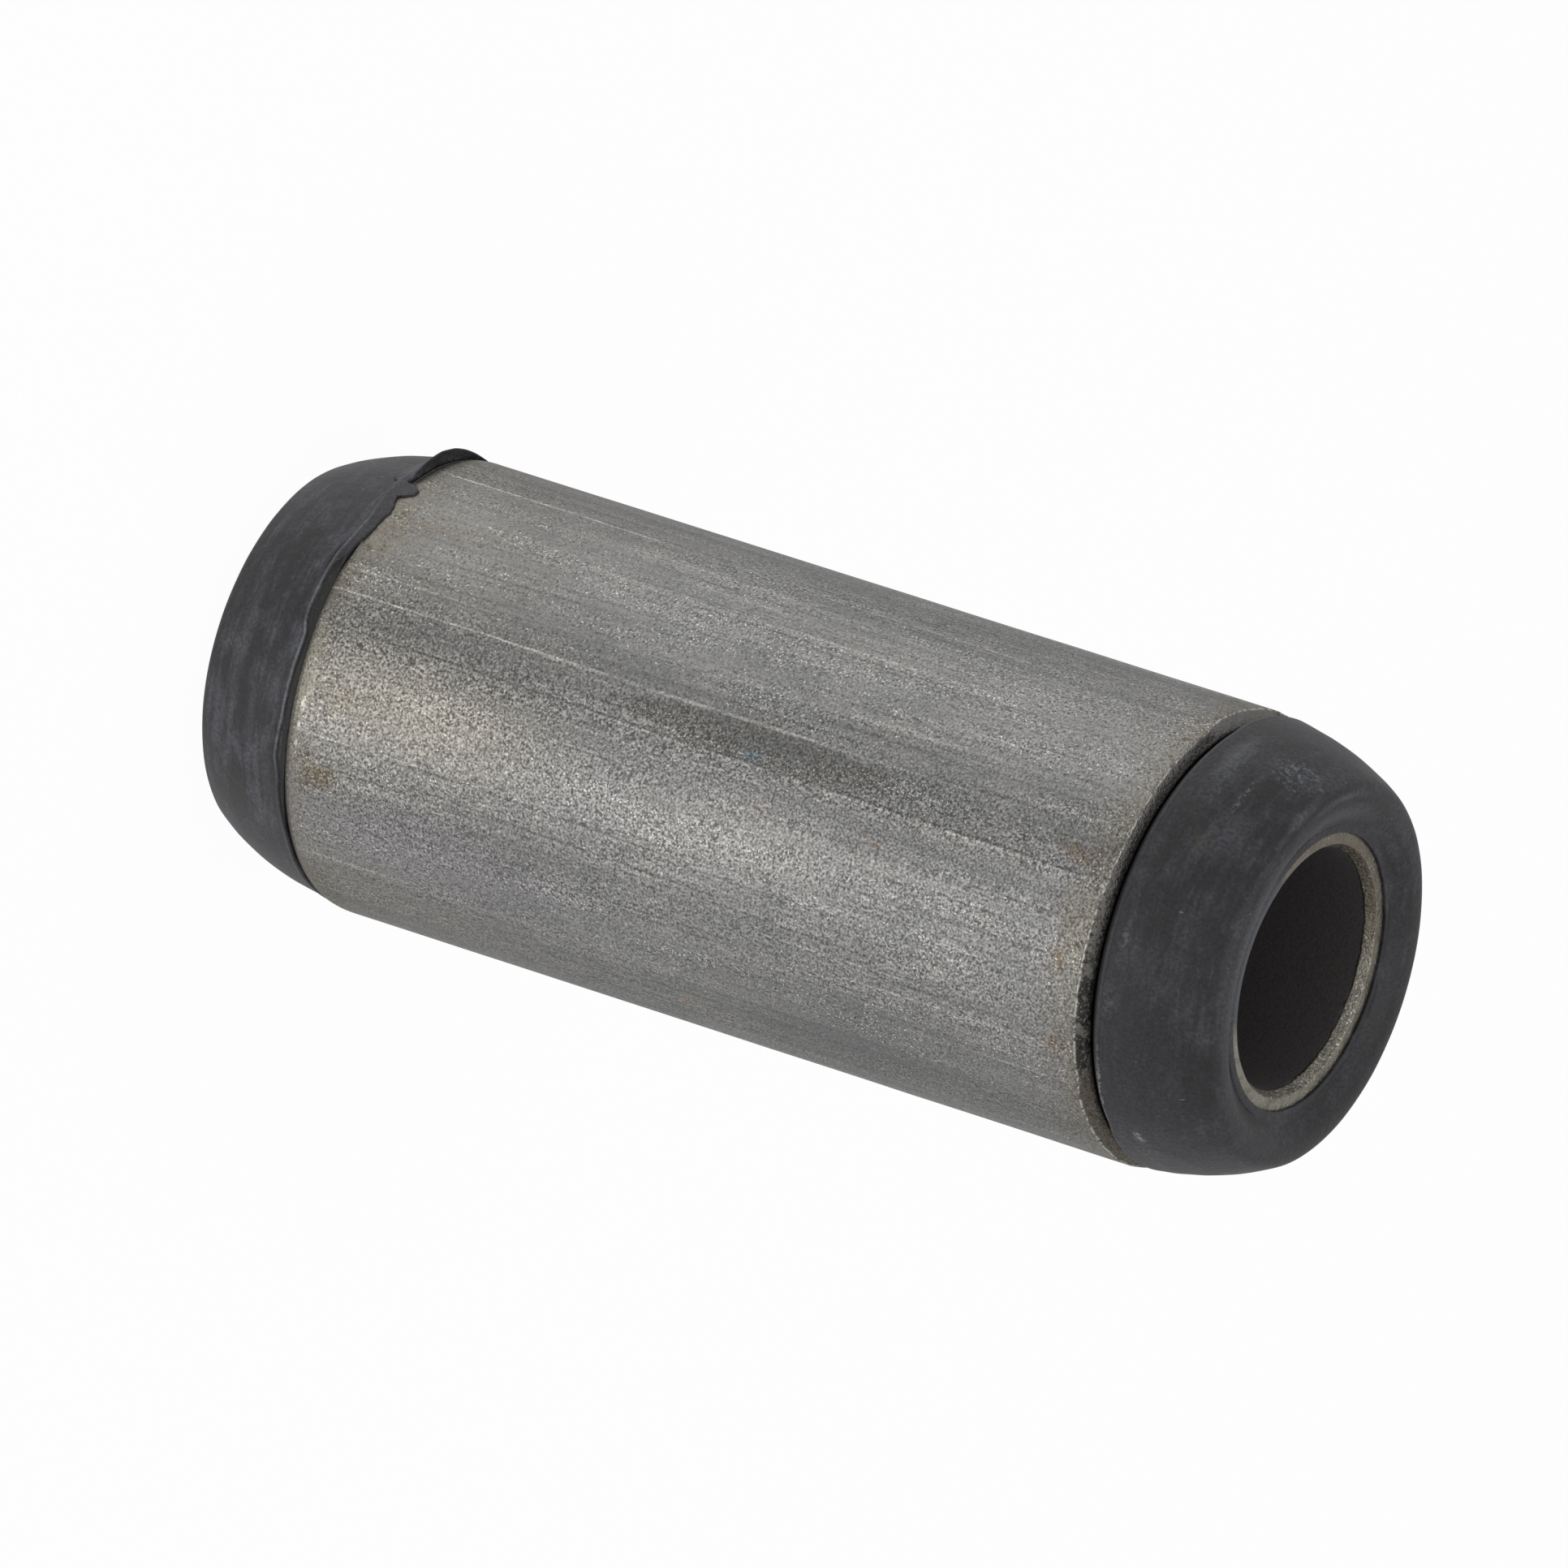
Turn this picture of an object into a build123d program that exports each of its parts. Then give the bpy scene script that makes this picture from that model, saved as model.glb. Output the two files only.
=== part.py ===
"""Bonded rubber-metal bush for a leaf-spring eye.

A steel inner sleeve takes the spring pin, a steel outer sleeve is pressed into the eye, and one
rubber moulding is bonded between them and bulges out past both ends of the outer sleeve. The bush
stands on the lower rubber ring at z = 0, with its axis along +Z. All sizes are in millimetres and
all angles in degrees, measured about +Z from +X.
"""

import os
from math import cos, radians, sin

from build123d import *

os.makedirs("parts", exist_ok=True)

# Wall build-up, from the pin outwards
bore_diameter = 30.0
tube_wall = 2.5
rubber_wall = 8.5
sleeve_wall = 2.5

# Lengths along the axis
sleeve_length = 114.0
tube_length = 141.0
upper_crest = 2.1  # rubber past the upper end of the inner sleeve
lower_crest = 1.6  # rubber past the lower end of the inner sleeve

# Ends of the two steel sleeves
upper_roll_in = 1.4  # radial
upper_roll_height = 1.9  # axial
lower_roll_in = 0.8
lower_roll_height = 1.0
lead_in = 0.2  # slight taper over the lower end, below the straight press-fit length
lead_in_height = 3.5
bore_bevel = 0.75  # radial
bore_bevel_depth = 1.3  # axial
tube_edge_break = 0.25

# Rubber ends
bulge_step = 0.2  # the bulge stays inside the outer sleeve's surface, so an eye can pass it
bulge_lip = 0.5  # height of the undercut lip over the sleeve's end
upper_side_radius = 35.0
lower_side_radius = 38.0
upper_shoulder_inset = 4.7
lower_shoulder_inset = 5.2
upper_shoulder_round = 1.9
lower_shoulder_round = 1.3
crest_width = 2.2
crest_round = 2.0
rim_width = 1.1  # flat rubber rim around the mouth of the inner sleeve
rim_height = 0.4  # the rim stands over the end of the inner sleeve

# Moulding flash on the lower end: a thin skin over the sleeve's edge, and a flap that stands off it
flash_angle = -130.0
flash_thickness = 0.3
flash_root = 1.2  # how far under the sleeve's end the skin is rooted in the rubber
flash_edge = [  # ragged edge of the skin: distance round the sleeve, height over the sleeve's end
    (7.9, 0.6),
    (5.5, 1.1),
    (3.8, 1.8),
    (1.0, 1.8),
    (-0.3, 2.2),
    (-1.5, 2.1),
    (-2.7, 1.6),
    (-3.5, 1.5),
    (-3.5, 2.4),
    (-4.5, 3.0),
    (-5.6, 3.0),
    (-6.3, 2.0),
    (-6.7, 1.2),
]
flap_angle = -162.0
flap_height = 1.8  # how far the flap's free edge stands off the sleeve
flap_thickness = 0.4
flap_slope = 35.0  # from level
flap_root = 1.0  # how far under the sleeve's end the flap leaves the rubber
flap_edge_radius = 14.0

# Radii
bore_radius = bore_diameter / 2
tube_radius = bore_radius + tube_wall
sleeve_bore_radius = tube_radius + rubber_wall
sleeve_radius = sleeve_bore_radius + sleeve_wall
rim_radius = tube_radius - tube_edge_break
bulge_radius = sleeve_radius - bulge_step

# Heights
tube_overhang = (tube_length - sleeve_length) / 2
tube_bottom = lower_crest
sleeve_bottom = tube_bottom + tube_overhang
sleeve_top = sleeve_bottom + sleeve_length
bush_middle = sleeve_bottom + sleeve_length / 2


def draw_rubber_end(sleeve_end, up, roll_in, crest_height, side_radius, shoulder_inset):
    """Draw one end of the rubber's half section, from the outer sleeve's bore to the inner sleeve.

    up is 1 for the upper end and -1 for the lower end. Returns the two corners that get rounded:
    the shoulder and the crest's inner edge.
    """
    tube_end = sleeve_end + up * tube_overhang
    crest = tube_end + up * crest_height
    rim = tube_end + up * rim_height
    lip = (bulge_radius, sleeve_end + up * bulge_lip)
    shoulder = (bulge_radius - shoulder_inset, crest)
    crest_edge = (bulge_radius - shoulder_inset - crest_width, crest)
    Polyline(
        (sleeve_bore_radius, bush_middle),
        (sleeve_bore_radius, sleeve_end),
        (sleeve_radius - roll_in, sleeve_end),
        lip,
    )
    RadiusArc(lip, shoulder, -up * side_radius)
    Polyline(
        shoulder,
        crest_edge,
        (rim_radius + rim_width, rim),
        (rim_radius, rim),
        (rim_radius, tube_end),
        (tube_radius, tube_end - up * tube_edge_break),
        (tube_radius, bush_middle),
    )
    return shoulder, crest_edge


def corner(profile, point):
    """Return the profile's vertex that lies at a point (radius, height) of the half section."""
    return profile.vertices().sort_by_distance(Vector(*point))[0]


def radial_plane(angle, height):
    """Return a plane that faces outwards at an angle: local x runs round the bush, local y up."""
    outwards = (cos(radians(angle)), sin(radians(angle)), 0)
    around = (-sin(radians(angle)), cos(radians(angle)), 0)
    return Plane(origin=(0, 0, height), x_dir=around, z_dir=outwards)


# Outer sleeve: a drawn steel tube with both outside edges rolled in
lower_sleeve_edge = [
    (sleeve_radius - lower_roll_in, sleeve_bottom),
    (sleeve_radius - lead_in, sleeve_bottom + lower_roll_height),
    (sleeve_radius, sleeve_bottom + lead_in_height),
]

with BuildPart() as outer_sleeve:
    with BuildSketch(Plane.XZ):
        with BuildLine():
            Polyline(
                (sleeve_bore_radius, sleeve_bottom),
                *lower_sleeve_edge,
                (sleeve_radius, sleeve_top - upper_roll_height),
                (sleeve_radius - upper_roll_in, sleeve_top),
                (sleeve_bore_radius, sleeve_top),
                close=True,
            )
        make_face()
    revolve(axis=Axis.Z)

# Inner sleeve: a thick steel tube, bored for the pin and bevelled at both mouths
with BuildPart() as inner_sleeve:
    with BuildSketch(Plane.XY.offset(tube_bottom)):
        Circle(tube_radius)
        Circle(bore_radius, mode=Mode.SUBTRACT)
    extrude(amount=tube_length)
    end_circles = inner_sleeve.edges().filter_by(GeomType.CIRCLE)
    outside_edges = end_circles.group_by(SortBy.RADIUS)[-1]
    mouth_edges = end_circles.group_by(SortBy.RADIUS)[0]
    chamfer(outside_edges, length=tube_edge_break)
    for mouth in mouth_edges:
        end_face = inner_sleeve.faces().filter_by(GeomType.PLANE).sort_by_distance(mouth)[0]
        chamfer(mouth, length=bore_bevel, length2=bore_bevel_depth, reference=end_face)

# Flash skin: the ragged outline, cut outwards through a thin ring that follows the sleeve's edge
flash_start = (flash_edge[0][0], -flash_root)
flash_end = (flash_edge[-1][0], -flash_root)
skin_radius = sleeve_radius + flash_thickness

with BuildPart() as flash_skin:
    with BuildSketch(radial_plane(flash_angle, sleeve_bottom)):
        with BuildLine():
            Polyline(flash_start, *flash_edge, flash_end, close=True)
        make_face()
    extrude(amount=skin_radius)
    with BuildSketch(Plane.XZ):
        with BuildLine():
            Polyline(
                (sleeve_radius - lower_roll_in, sleeve_bottom - flash_root),
                *lower_sleeve_edge,
                (skin_radius, sleeve_bottom + lead_in_height),
                (skin_radius, sleeve_bottom),
                (bulge_radius - flash_thickness, sleeve_bottom - flash_root),
                close=True,
            )
        make_face()
    revolve(axis=Axis.Z, mode=Mode.INTERSECT)

# Flash flap: a thin cone that flares from the rubber, its free edge cut to an arc
flap_middle = sleeve_radius + flap_height - flap_edge_radius
flap_run = flap_edge_radius / 2
flap_start = (bulge_radius - flap_thickness, sleeve_bottom - flap_root)

with BuildPart() as flash_flap:
    with BuildSketch(Plane.XZ):
        with BuildLine():
            root = PolarLine(flap_start, flap_thickness, flap_slope - 90)
            outside = PolarLine(root @ 1, flap_run, flap_slope)
            edge = PolarLine(outside @ 1, flap_thickness, flap_slope + 90)
            Line(edge @ 1, flap_start)
        make_face()
    revolve(axis=Axis.Z)
    with BuildSketch(Plane.XY):
        with PolarLocations(flap_middle, 1, start_angle=flap_angle):
            Circle(flap_edge_radius)
    extrude(amount=sleeve_top, mode=Mode.INTERSECT)

# Rubber: one half section drawn end by end, turned about the axis, with the flash on it
with BuildPart() as rubber_body:
    with BuildSketch(Plane.XZ) as rubber_section:
        with BuildLine():
            upper_corners = draw_rubber_end(
                sleeve_top, 1, upper_roll_in, upper_crest, upper_side_radius, upper_shoulder_inset
            )
            lower_corners = draw_rubber_end(
                sleeve_bottom, -1, lower_roll_in, lower_crest, lower_side_radius, lower_shoulder_inset
            )
        make_face()
        for corners, shoulder_round in (
            (upper_corners, upper_shoulder_round),
            (lower_corners, lower_shoulder_round),
        ):
            for point, size in zip(corners, (shoulder_round, crest_round)):
                fillet(corner(rubber_section, point), radius=size)
    revolve(axis=Axis.Z)
    add(flash_skin.part)
    add(flash_flap.part)

outer_sleeve.part.label = "outer_sleeve"
inner_sleeve.part.label = "inner_sleeve"
rubber_body.part.label = "rubber_body"

export_step(outer_sleeve.part, "parts/outer_sleeve.step")
export_step(inner_sleeve.part, "parts/inner_sleeve.step")
export_step(rubber_body.part, "parts/rubber_body.step")
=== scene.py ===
"""Rubber metal bush for a leaf-spring eye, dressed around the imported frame.

The bush stands on its lower rubber ring, with its axis along +Z. Sizes in the classes are in millimetres
and angles in degrees about +Z from +X. Along the axis a place is given by its reach, which is its distance
from the bush's middle plane towards one end.
"""

import logging
from collections.abc import Callable, Sequence
from dataclasses import dataclass, field
from enum import Enum
from functools import cache

import bpy
import numpy as np
from mathutils import Matrix, Vector


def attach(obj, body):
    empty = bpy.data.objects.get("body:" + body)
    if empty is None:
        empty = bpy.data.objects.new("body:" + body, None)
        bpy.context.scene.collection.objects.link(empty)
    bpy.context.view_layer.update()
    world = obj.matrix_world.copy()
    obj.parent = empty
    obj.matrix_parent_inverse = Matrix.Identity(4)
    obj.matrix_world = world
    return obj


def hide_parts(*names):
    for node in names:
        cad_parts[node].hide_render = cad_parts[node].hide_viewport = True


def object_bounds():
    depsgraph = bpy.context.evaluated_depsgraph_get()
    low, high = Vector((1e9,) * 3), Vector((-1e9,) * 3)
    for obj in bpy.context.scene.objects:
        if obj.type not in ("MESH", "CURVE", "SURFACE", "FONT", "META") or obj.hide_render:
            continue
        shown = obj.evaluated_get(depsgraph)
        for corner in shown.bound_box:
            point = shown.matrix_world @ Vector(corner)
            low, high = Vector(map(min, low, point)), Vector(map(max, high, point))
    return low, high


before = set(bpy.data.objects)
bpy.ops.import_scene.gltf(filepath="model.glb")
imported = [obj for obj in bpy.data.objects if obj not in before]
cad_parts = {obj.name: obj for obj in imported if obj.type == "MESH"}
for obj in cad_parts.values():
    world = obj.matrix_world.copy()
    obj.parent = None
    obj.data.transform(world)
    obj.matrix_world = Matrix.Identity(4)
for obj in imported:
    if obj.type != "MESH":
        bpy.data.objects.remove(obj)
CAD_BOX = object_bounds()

MM = 0.001
MIDDLE = 72.1  # height of the bush's middle plane
HIDDEN = 40.0  # reach, deep inside, where the section of each end stops
ORIGIN = (0.0, 0.0, 0.0)

Array = np.ndarray
log = logging.getLogger("bush")


class End(Enum):
    """One end of the bush: 1 is the upper end and -1 the lower one."""

    UPPER = 1
    LOWER = -1


# --------------------------------------------------------------------------------------------------
# Surfaces
# --------------------------------------------------------------------------------------------------


def ripple(angle: Array, seed: int, waves: Sequence[int], size: float) -> Array:
    """Work out a smooth uneven line around the axis.

    The line is a sum of sines with whole numbers of waves a turn, each with its own random phase and with
    an amplitude that falls as the square root of its wave count. It is scaled to the size at its highest
    point.

    Args:
        angle: Angles in radians.
        seed: Seed of the phases.
        waves: First and last number of waves a turn.
        size: Largest height of the line.

    Returns:
        The line's height at each angle.
    """
    draw = np.random.default_rng(seed)
    count = np.arange(waves[0], waves[1] + 1)
    phase = draw.uniform(0, 2 * np.pi, count.size)
    line = (np.sin(np.outer(angle, count) + phase) / np.sqrt(count)).sum(axis=1)
    return size * line / np.abs(line).max()


def unevenness(angle: Array, along: Array, seed: int, turns: int, grain: float, size: float) -> Array:
    """Work out a smooth uneven relief over a surface of revolution.

    The relief is a sum of plane waves. Each has a whole number of waves a turn, up to the number given,
    and a random rate along the section, up to one wave per grain length.

    Args:
        angle: Angle of each column, in radians.
        along: Distance along the section of each row and column.
        seed: Seed of the waves.
        turns: Largest number of waves a turn.
        grain: Shortest wave along the section.
        size: Standard deviation of the relief.

    Returns:
        The relief at each row and column.
    """
    draw = np.random.default_rng(seed)
    relief = np.zeros(along.shape)
    plane_waves = 60
    for _ in range(plane_waves):
        around = draw.integers(1, turns + 1) * draw.choice((-1, 1))
        rate = draw.uniform(0.05, 1.0) * 2 * np.pi / grain
        relief += np.sin(around * angle + rate * along + draw.uniform(0, 2 * np.pi))
    return size * relief / relief.std()


def read_line(angle: Array, knots: Sequence[tuple[float, float]], otherwise: Array) -> Array:
    """Read a line that is known over part of the turn, and blend it into another line elsewhere.

    Between its knots the line is straight. Past each end it runs into the other line by a smooth step.

    Args:
        angle: Angles in radians, from -180 to 180 degrees.
        knots: Pairs of an angle in degrees and a height, in order of the angle.
        otherwise: The line that holds outside the knots.

    Returns:
        The joined line at each angle.
    """
    places, heights = np.array(knots, float).T
    degrees = np.degrees(angle)
    inside = np.interp(degrees, places, heights)
    soft = 6.0
    outside = np.maximum(places[0] - degrees, degrees - places[-1]).clip(0, soft) / soft
    blend = outside * outside * (3 - 2 * outside)
    return inside * (1 - blend) + otherwise * blend


def wrapped(angle: Array) -> Array:
    """Bring angles in radians between minus and plus half a turn."""
    return np.radians((np.degrees(angle) + 180) % 360 - 180)


def window(angle: Array, first: float, last: float, soft: float) -> Array:
    """Work out a weight that is 1 between two angles and falls to 0 past them by a smooth step.

    Args:
        angle: Angles in radians.
        first: First angle of the window, in degrees.
        last: Last angle of the window, in degrees, past the first.
        soft: Width of each smooth step, in degrees.

    Returns:
        The weight at each angle.
    """
    centre, half = (first + last) / 2, (last - first) / 2
    off = np.abs((np.degrees(angle) - centre + 180) % 360 - 180)
    step = ((half + soft / 2 - off) / soft).clip(0, 1)
    return step * step * (3 - 2 * step)


def section(columns: int, *corners: Sequence[Array | float]) -> Array:
    """Stack the corners of a section into one array.

    Args:
        columns: Number of columns round the axis.
        corners: Pairs of a radius and a reach, each one number or one number a column.

    Returns:
        An array of corner, radius or reach, and column.
    """
    return np.stack([[np.broadcast_to(np.asarray(v, float), (columns,)) for v in c] for c in corners])


def rounded(corners: Array, cuts: Sequence[tuple[float, float]], steps: Sequence[tuple[int, int]]) -> Array:
    """Carry a smooth line through the corners of a section, in all columns at once.

    Each corner is cut back along both of its legs and replaced by the quadratic curve that has the corner
    as its control point: (1-t)^2 A + 2t(1-t) B + t^2 C. The legs between are straight, evenly divided.

    Args:
        corners: An array of corner, radius or reach, and column, as section makes it.
        cuts: For each corner, how far it is cut back towards the one before it and the one after it.
        steps: For each corner, how many points the straight leg before it gets, and how many its curve.

    Returns:
        An array of point, radius or reach, and column.
    """
    points = []
    last = corners[0]
    for k, ((back, on), (straight, bend)) in enumerate(zip(cuts, steps)):
        here = corners[k]
        if k == 0:
            points.append(here[None])
            continue
        before = here - corners[k - 1]
        before = before / np.maximum(np.linalg.norm(before, axis=0), 1e-9)
        start = here - back * before
        share = np.linspace(0, 1, straight + 2)[1:-1, None, None]
        points.append(last + (start - last) * share)
        if k + 1 < len(corners) and bend > 1:
            after = corners[k + 1] - here
            after = after / np.maximum(np.linalg.norm(after, axis=0), 1e-9)
            stop = here + on * after
            t = np.linspace(0, 1, bend)[:, None, None]
            points.append((1 - t) ** 2 * start + 2 * t * (1 - t) * here + t**2 * stop)
            last = stop
        else:
            points.append(start[None])
            last = start
    return np.concatenate(points)


def ring_mesh(
    name: str, radius: Array, height: Array, angle: Array, rim: Array | None = None
) -> bpy.types.Object:
    """Make a ring-shaped closed surface from its section in each column.

    A vertex lies at (R cos A, R sin A, H), where R and H are the radius and height of its row and column
    and A is the column's angle. The rows run anticlockwise round the section, with the radius to the right
    and the height up, and the last row and the last column join the first.

    Args:
        name: Name of the piece.
        radius: Radius of each row and column.
        height: Height of each row and column.
        angle: Angle of each column, in radians, in order.
        rim: How near each point is to the lower bead's edge, where a highlight is painted, from 0 to 1,
            kept in the mesh as the attribute rim.

    Returns:
        The new object, at the origin.
    """
    rows, columns = radius.shape
    points = np.stack((radius * np.cos(angle), radius * np.sin(angle), height), axis=-1) * MM
    row, column = np.meshgrid(np.arange(rows), np.arange(columns), indexing="ij")
    below, above = row * columns, (row + 1) % rows * columns
    after = (column + 1) % columns
    quads = np.stack((below + column, below + after, above + after, above + column), axis=-1)
    mesh = bpy.data.meshes.new(name)
    mesh.from_pydata(points.reshape(-1, 3).tolist(), [], quads.reshape(-1, 4).tolist())
    mesh.shade_smooth()
    if rim is not None:
        kept = mesh.attributes.new("rim", "FLOAT", "POINT")
        kept.data.foreach_set("value", rim.astype(np.float32).ravel())
    piece = bpy.data.objects.new(name, mesh)
    bpy.context.scene.collection.objects.link(piece)
    return piece


# --------------------------------------------------------------------------------------------------
# Node trees
# --------------------------------------------------------------------------------------------------


def arithmetic(operation: str, swapped: bool = False) -> Callable:
    """Make a method of Value that adds a Math node.

    Args:
        operation: Blender's name of the operation.
        swapped: Whether the value comes after the other operand.

    Returns:
        The method.
    """

    def method(value: "Value", *others: "Feed") -> "Value":
        """Add the node with this value as one operand."""
        return value.sketch.math(operation, *((*others, value) if swapped else (value, *others)))

    return method


@dataclass(eq=False)
class Value:
    """What one socket of a node puts out. Arithmetic with it adds Math nodes to the same tree."""

    sketch: "Sketch"
    socket: bpy.types.NodeSocket

    __add__ = __radd__ = arithmetic("ADD")
    __sub__ = arithmetic("SUBTRACT")
    __rsub__ = arithmetic("SUBTRACT", swapped=True)
    __mul__ = __rmul__ = arithmetic("MULTIPLY")
    __truediv__ = arithmetic("DIVIDE")
    __rtruediv__ = arithmetic("DIVIDE", swapped=True)
    __pow__ = arithmetic("POWER")
    __abs__ = arithmetic("ABSOLUTE")
    or_larger = arithmetic("MAXIMUM")

    def ramp(self, low: float, high: float, out_low: float = 0.0, out_high: float = 1.0) -> "Value":
        """Map the value smoothly from one range to another.

        Args:
            low: Where the range starts.
            high: Where the range ends.
            out_low: Result at and below the start.
            out_high: Result at and past the end.

        Returns:
            The mapped value.
        """
        ranges = {"From_Min": low, "From_Max": high, "To_Min": out_low, "To_Max": out_high}
        made = self.sketch.node("MapRange", {"interpolation_type": "SMOOTHSTEP"}, Value=self, **ranges)
        return Value(self.sketch, made.outputs[0])


Feed = Value | float | Sequence[float]


@dataclass
class Sketch:
    """A node tree under construction, with short calls for the nodes that the finishes use."""

    tree: bpy.types.NodeTree

    def node(self, kind: str, settings: dict[str, object] | None = None, **feeds: Feed) -> bpy.types.Node:
        """Add a node.

        Args:
            kind: Blender's name of the node type, without ShaderNode.
            settings: Properties of the node.
            feeds: What goes into each socket, by the socket's name with _ for a space.

        Returns:
            The new node.
        """
        made = self.tree.nodes.new("ShaderNode" + kind)
        for key, value in (settings or {}).items():
            setattr(made, key, value)
        for key, value in feeds.items():
            self.feed(made.inputs[key.replace("_", " ")], value)
        return made

    def values(
        self, kind: str, settings: dict[str, object] | None = None, **feeds: Feed
    ) -> dict[str, Value]:
        """Add a node, as node does, and give what it puts out by name."""
        return {out.name: Value(self, out) for out in self.node(kind, settings, **feeds).outputs}

    def feed(self, socket: bpy.types.NodeSocket, value: Feed) -> None:
        """Link a socket to a value, or set its own number or colour.

        Args:
            socket: A node's input.
            value: What goes into it.
        """
        if isinstance(value, Value):
            self.tree.links.new(value.socket, socket)
        else:
            socket.default_value = value

    def math(self, operation: str, *values: Feed, clamp: bool = False) -> Value:
        """Add a Math node.

        Args:
            operation: Blender's name of the operation.
            values: Its operands.
            clamp: Whether the result is kept between 0 and 1.

        Returns:
            The result.
        """
        made = self.node("Math", {"operation": operation, "use_clamp": clamp})
        for socket, value in zip(made.inputs, values):
            self.feed(socket, value)
        return Value(self, made.outputs[0])

    def mix(self, share: Feed, one: Feed, other: Feed, blend: str = "MIX") -> Value:
        """Mix two colours.

        Args:
            share: Share of the other colour.
            one: The colour underneath.
            other: The colour on top.
            blend: Blender's name of the way to mix.

        Returns:
            The mixed colour.
        """
        made = self.node("Mix", {"data_type": "RGBA", "blend_type": blend, "clamp_factor": True})
        for index, value in ((0, share), (6, one), (7, other)):
            plain = isinstance(value, tuple)
            self.feed(made.inputs[index], (*value, 1.0) if plain else value)
        return Value(self, made.outputs[2])

    def shaded(self, colour: Feed, factor: Value) -> Value:
        """Multiply a colour by a number."""
        grey = self.values("CombineColor", Red=factor, Green=factor, Blue=factor)["Color"]
        return self.mix(1.0, colour, grey, "MULTIPLY")

    def stretched(self, position: Feed, scale: Feed, offset: Feed = (0, 0, 0)) -> Value:
        """Scale and then shift a place, axis by axis.

        Args:
            position: The place.
            scale: Factor of each axis.
            offset: What is added along each axis.

        Returns:
            The new place.
        """
        made = self.node("VectorMath", {"operation": "MULTIPLY_ADD"})
        for socket, value in zip(made.inputs, (position, scale, offset)):
            self.feed(socket, value)
        return Value(self, made.outputs[0])

    def noise(self, position: Feed, scale: Feed, detail: float = 3.0, roughness: float = 0.55) -> Value:
        """Add a noise pattern.

        Args:
            position: Where the pattern is read.
            scale: Grains in a unit of the position.
            detail: How many finer layers it has.
            roughness: How strong each finer layer is.

        Returns:
            The pattern, around 0.5.
        """
        layers = {"Detail": detail, "Roughness": roughness}
        return self.values("TexNoise", Vector=position, Scale=scale, **layers)["Fac"]

    def bump(self, shader: bpy.types.Node, relief: Value, distance: float) -> None:
        """Turn a relief into a shader's normal, where a relief of 1 stands for a distance in metres."""
        made = self.values("Bump", Height=relief, Strength=1.0, Distance=distance)
        self.feed(shader.inputs["Normal"], made["Normal"])

    def group(self, tree: bpy.types.NodeTree, **feeds: Feed) -> dict[str, Value]:
        """Place a node group, with what goes into its sockets, and give what it puts out by name."""
        return self.values("Group", {"node_tree": tree}, **feeds)

    def surface(self, kind: str, shader: bpy.types.Node) -> None:
        """Add the tree's own output, of a Material or a World, and link a shader to it."""
        self.tree.links.new(shader.outputs[0], self.node("Output" + kind).inputs["Surface"])

    def close(self, **outputs: Value) -> bpy.types.NodeTree:
        """Give the group under construction its outputs.

        Args:
            outputs: What it puts out, by name with _ for a space. A name that ends in vector makes it one.

        Returns:
            The group.
        """
        for key in outputs:
            kind = "NodeSocketVector" if key.endswith("vector") else "NodeSocketFloat"
            self.tree.interface.new_socket(key.replace("_", " "), in_out="OUTPUT", socket_type=kind)
        leave = self.tree.nodes.new("NodeGroupOutput")
        for key, value in outputs.items():
            self.feed(leave.inputs[key.replace("_", " ")], value)
        return self.tree


def new_group(name: str, **inputs: float | tuple) -> tuple[Sketch, list[Value]]:
    """Start a shader node group.

    Args:
        name: Name of the group.
        inputs: Starting value of each input, by its name with _ for a space; a tuple makes it a vector.

    Returns:
        The sketch of the group and its inputs, in the order given.
    """
    tree = bpy.data.node_groups.new(name, "ShaderNodeTree")
    for key, value in inputs.items():
        kind = "NodeSocketVector" if isinstance(value, tuple) else "NodeSocketFloat"
        socket = tree.interface.new_socket(key.replace("_", " "), in_out="INPUT", socket_type=kind)
        socket.default_value = value
    entry = tree.nodes.new("NodeGroupInput")
    sketch = Sketch(tree)
    return sketch, [Value(sketch, out) for out in entry.outputs if out.enabled and out.name]


@cache
def place_group() -> bpy.types.NodeTree:
    """Build the group that says where a point of the surface is.

    From Object coordinates it puts out the place in millimetres with the middle plane at zero, the angle
    about the axis in degrees, the height over the middle plane and the distance from the axis.

    Returns:
        The group.
    """
    sketch, _ = new_group("place_on_bush")
    place = sketch.stretched(sketch.values("TexCoord")["Object"], (1 / MM,) * 3, (0, 0, -MIDDLE))
    x, y, height = sketch.values("SeparateXYZ", Vector=place).values()
    angle = sketch.math("DEGREES", sketch.math("ARCTAN2", y, x))
    radius = sketch.math("SQRT", x * x + y * y)
    return sketch.close(Place_vector=place, Angle=angle, Height=height, Radius=radius)


@cache
def grain_group() -> bpy.types.NodeTree:
    """Build the group for a fine grain.

    Two noises are added up into the relief: one of the grain's size and one twice as coarse. Pits lie where
    the first is lowest, and glints where a finer one is highest. A slow noise, read at the place called
    Cluster and put out as Spread, gathers glints and pits in some parts and thins them out in others.

    Returns:
        The group.
    """
    sketch, (place, cluster, size) = new_group("fine_grain", Place=ORIGIN, Cluster=ORIGIN, Size=0.3)
    finer = 1.0 / size
    even, coarse, fine = (sketch.noise(place, finer * factor, 1.0, 0.5) for factor in (1.0, 0.5, 1.25))
    spread = sketch.noise(cluster, 1.0, 3.0, 0.6)
    raised = spread * 0.3 - 0.15
    return sketch.close(
        Relief=(coarse * 0.15 + even) * (1 / 1.15),
        Glint=(fine + raised).ramp(0.65, 0.75),
        Pit=(even - raised).ramp(0.36, 0.27),
        Spread=spread.ramp(0.35, 0.65),
    )


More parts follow.
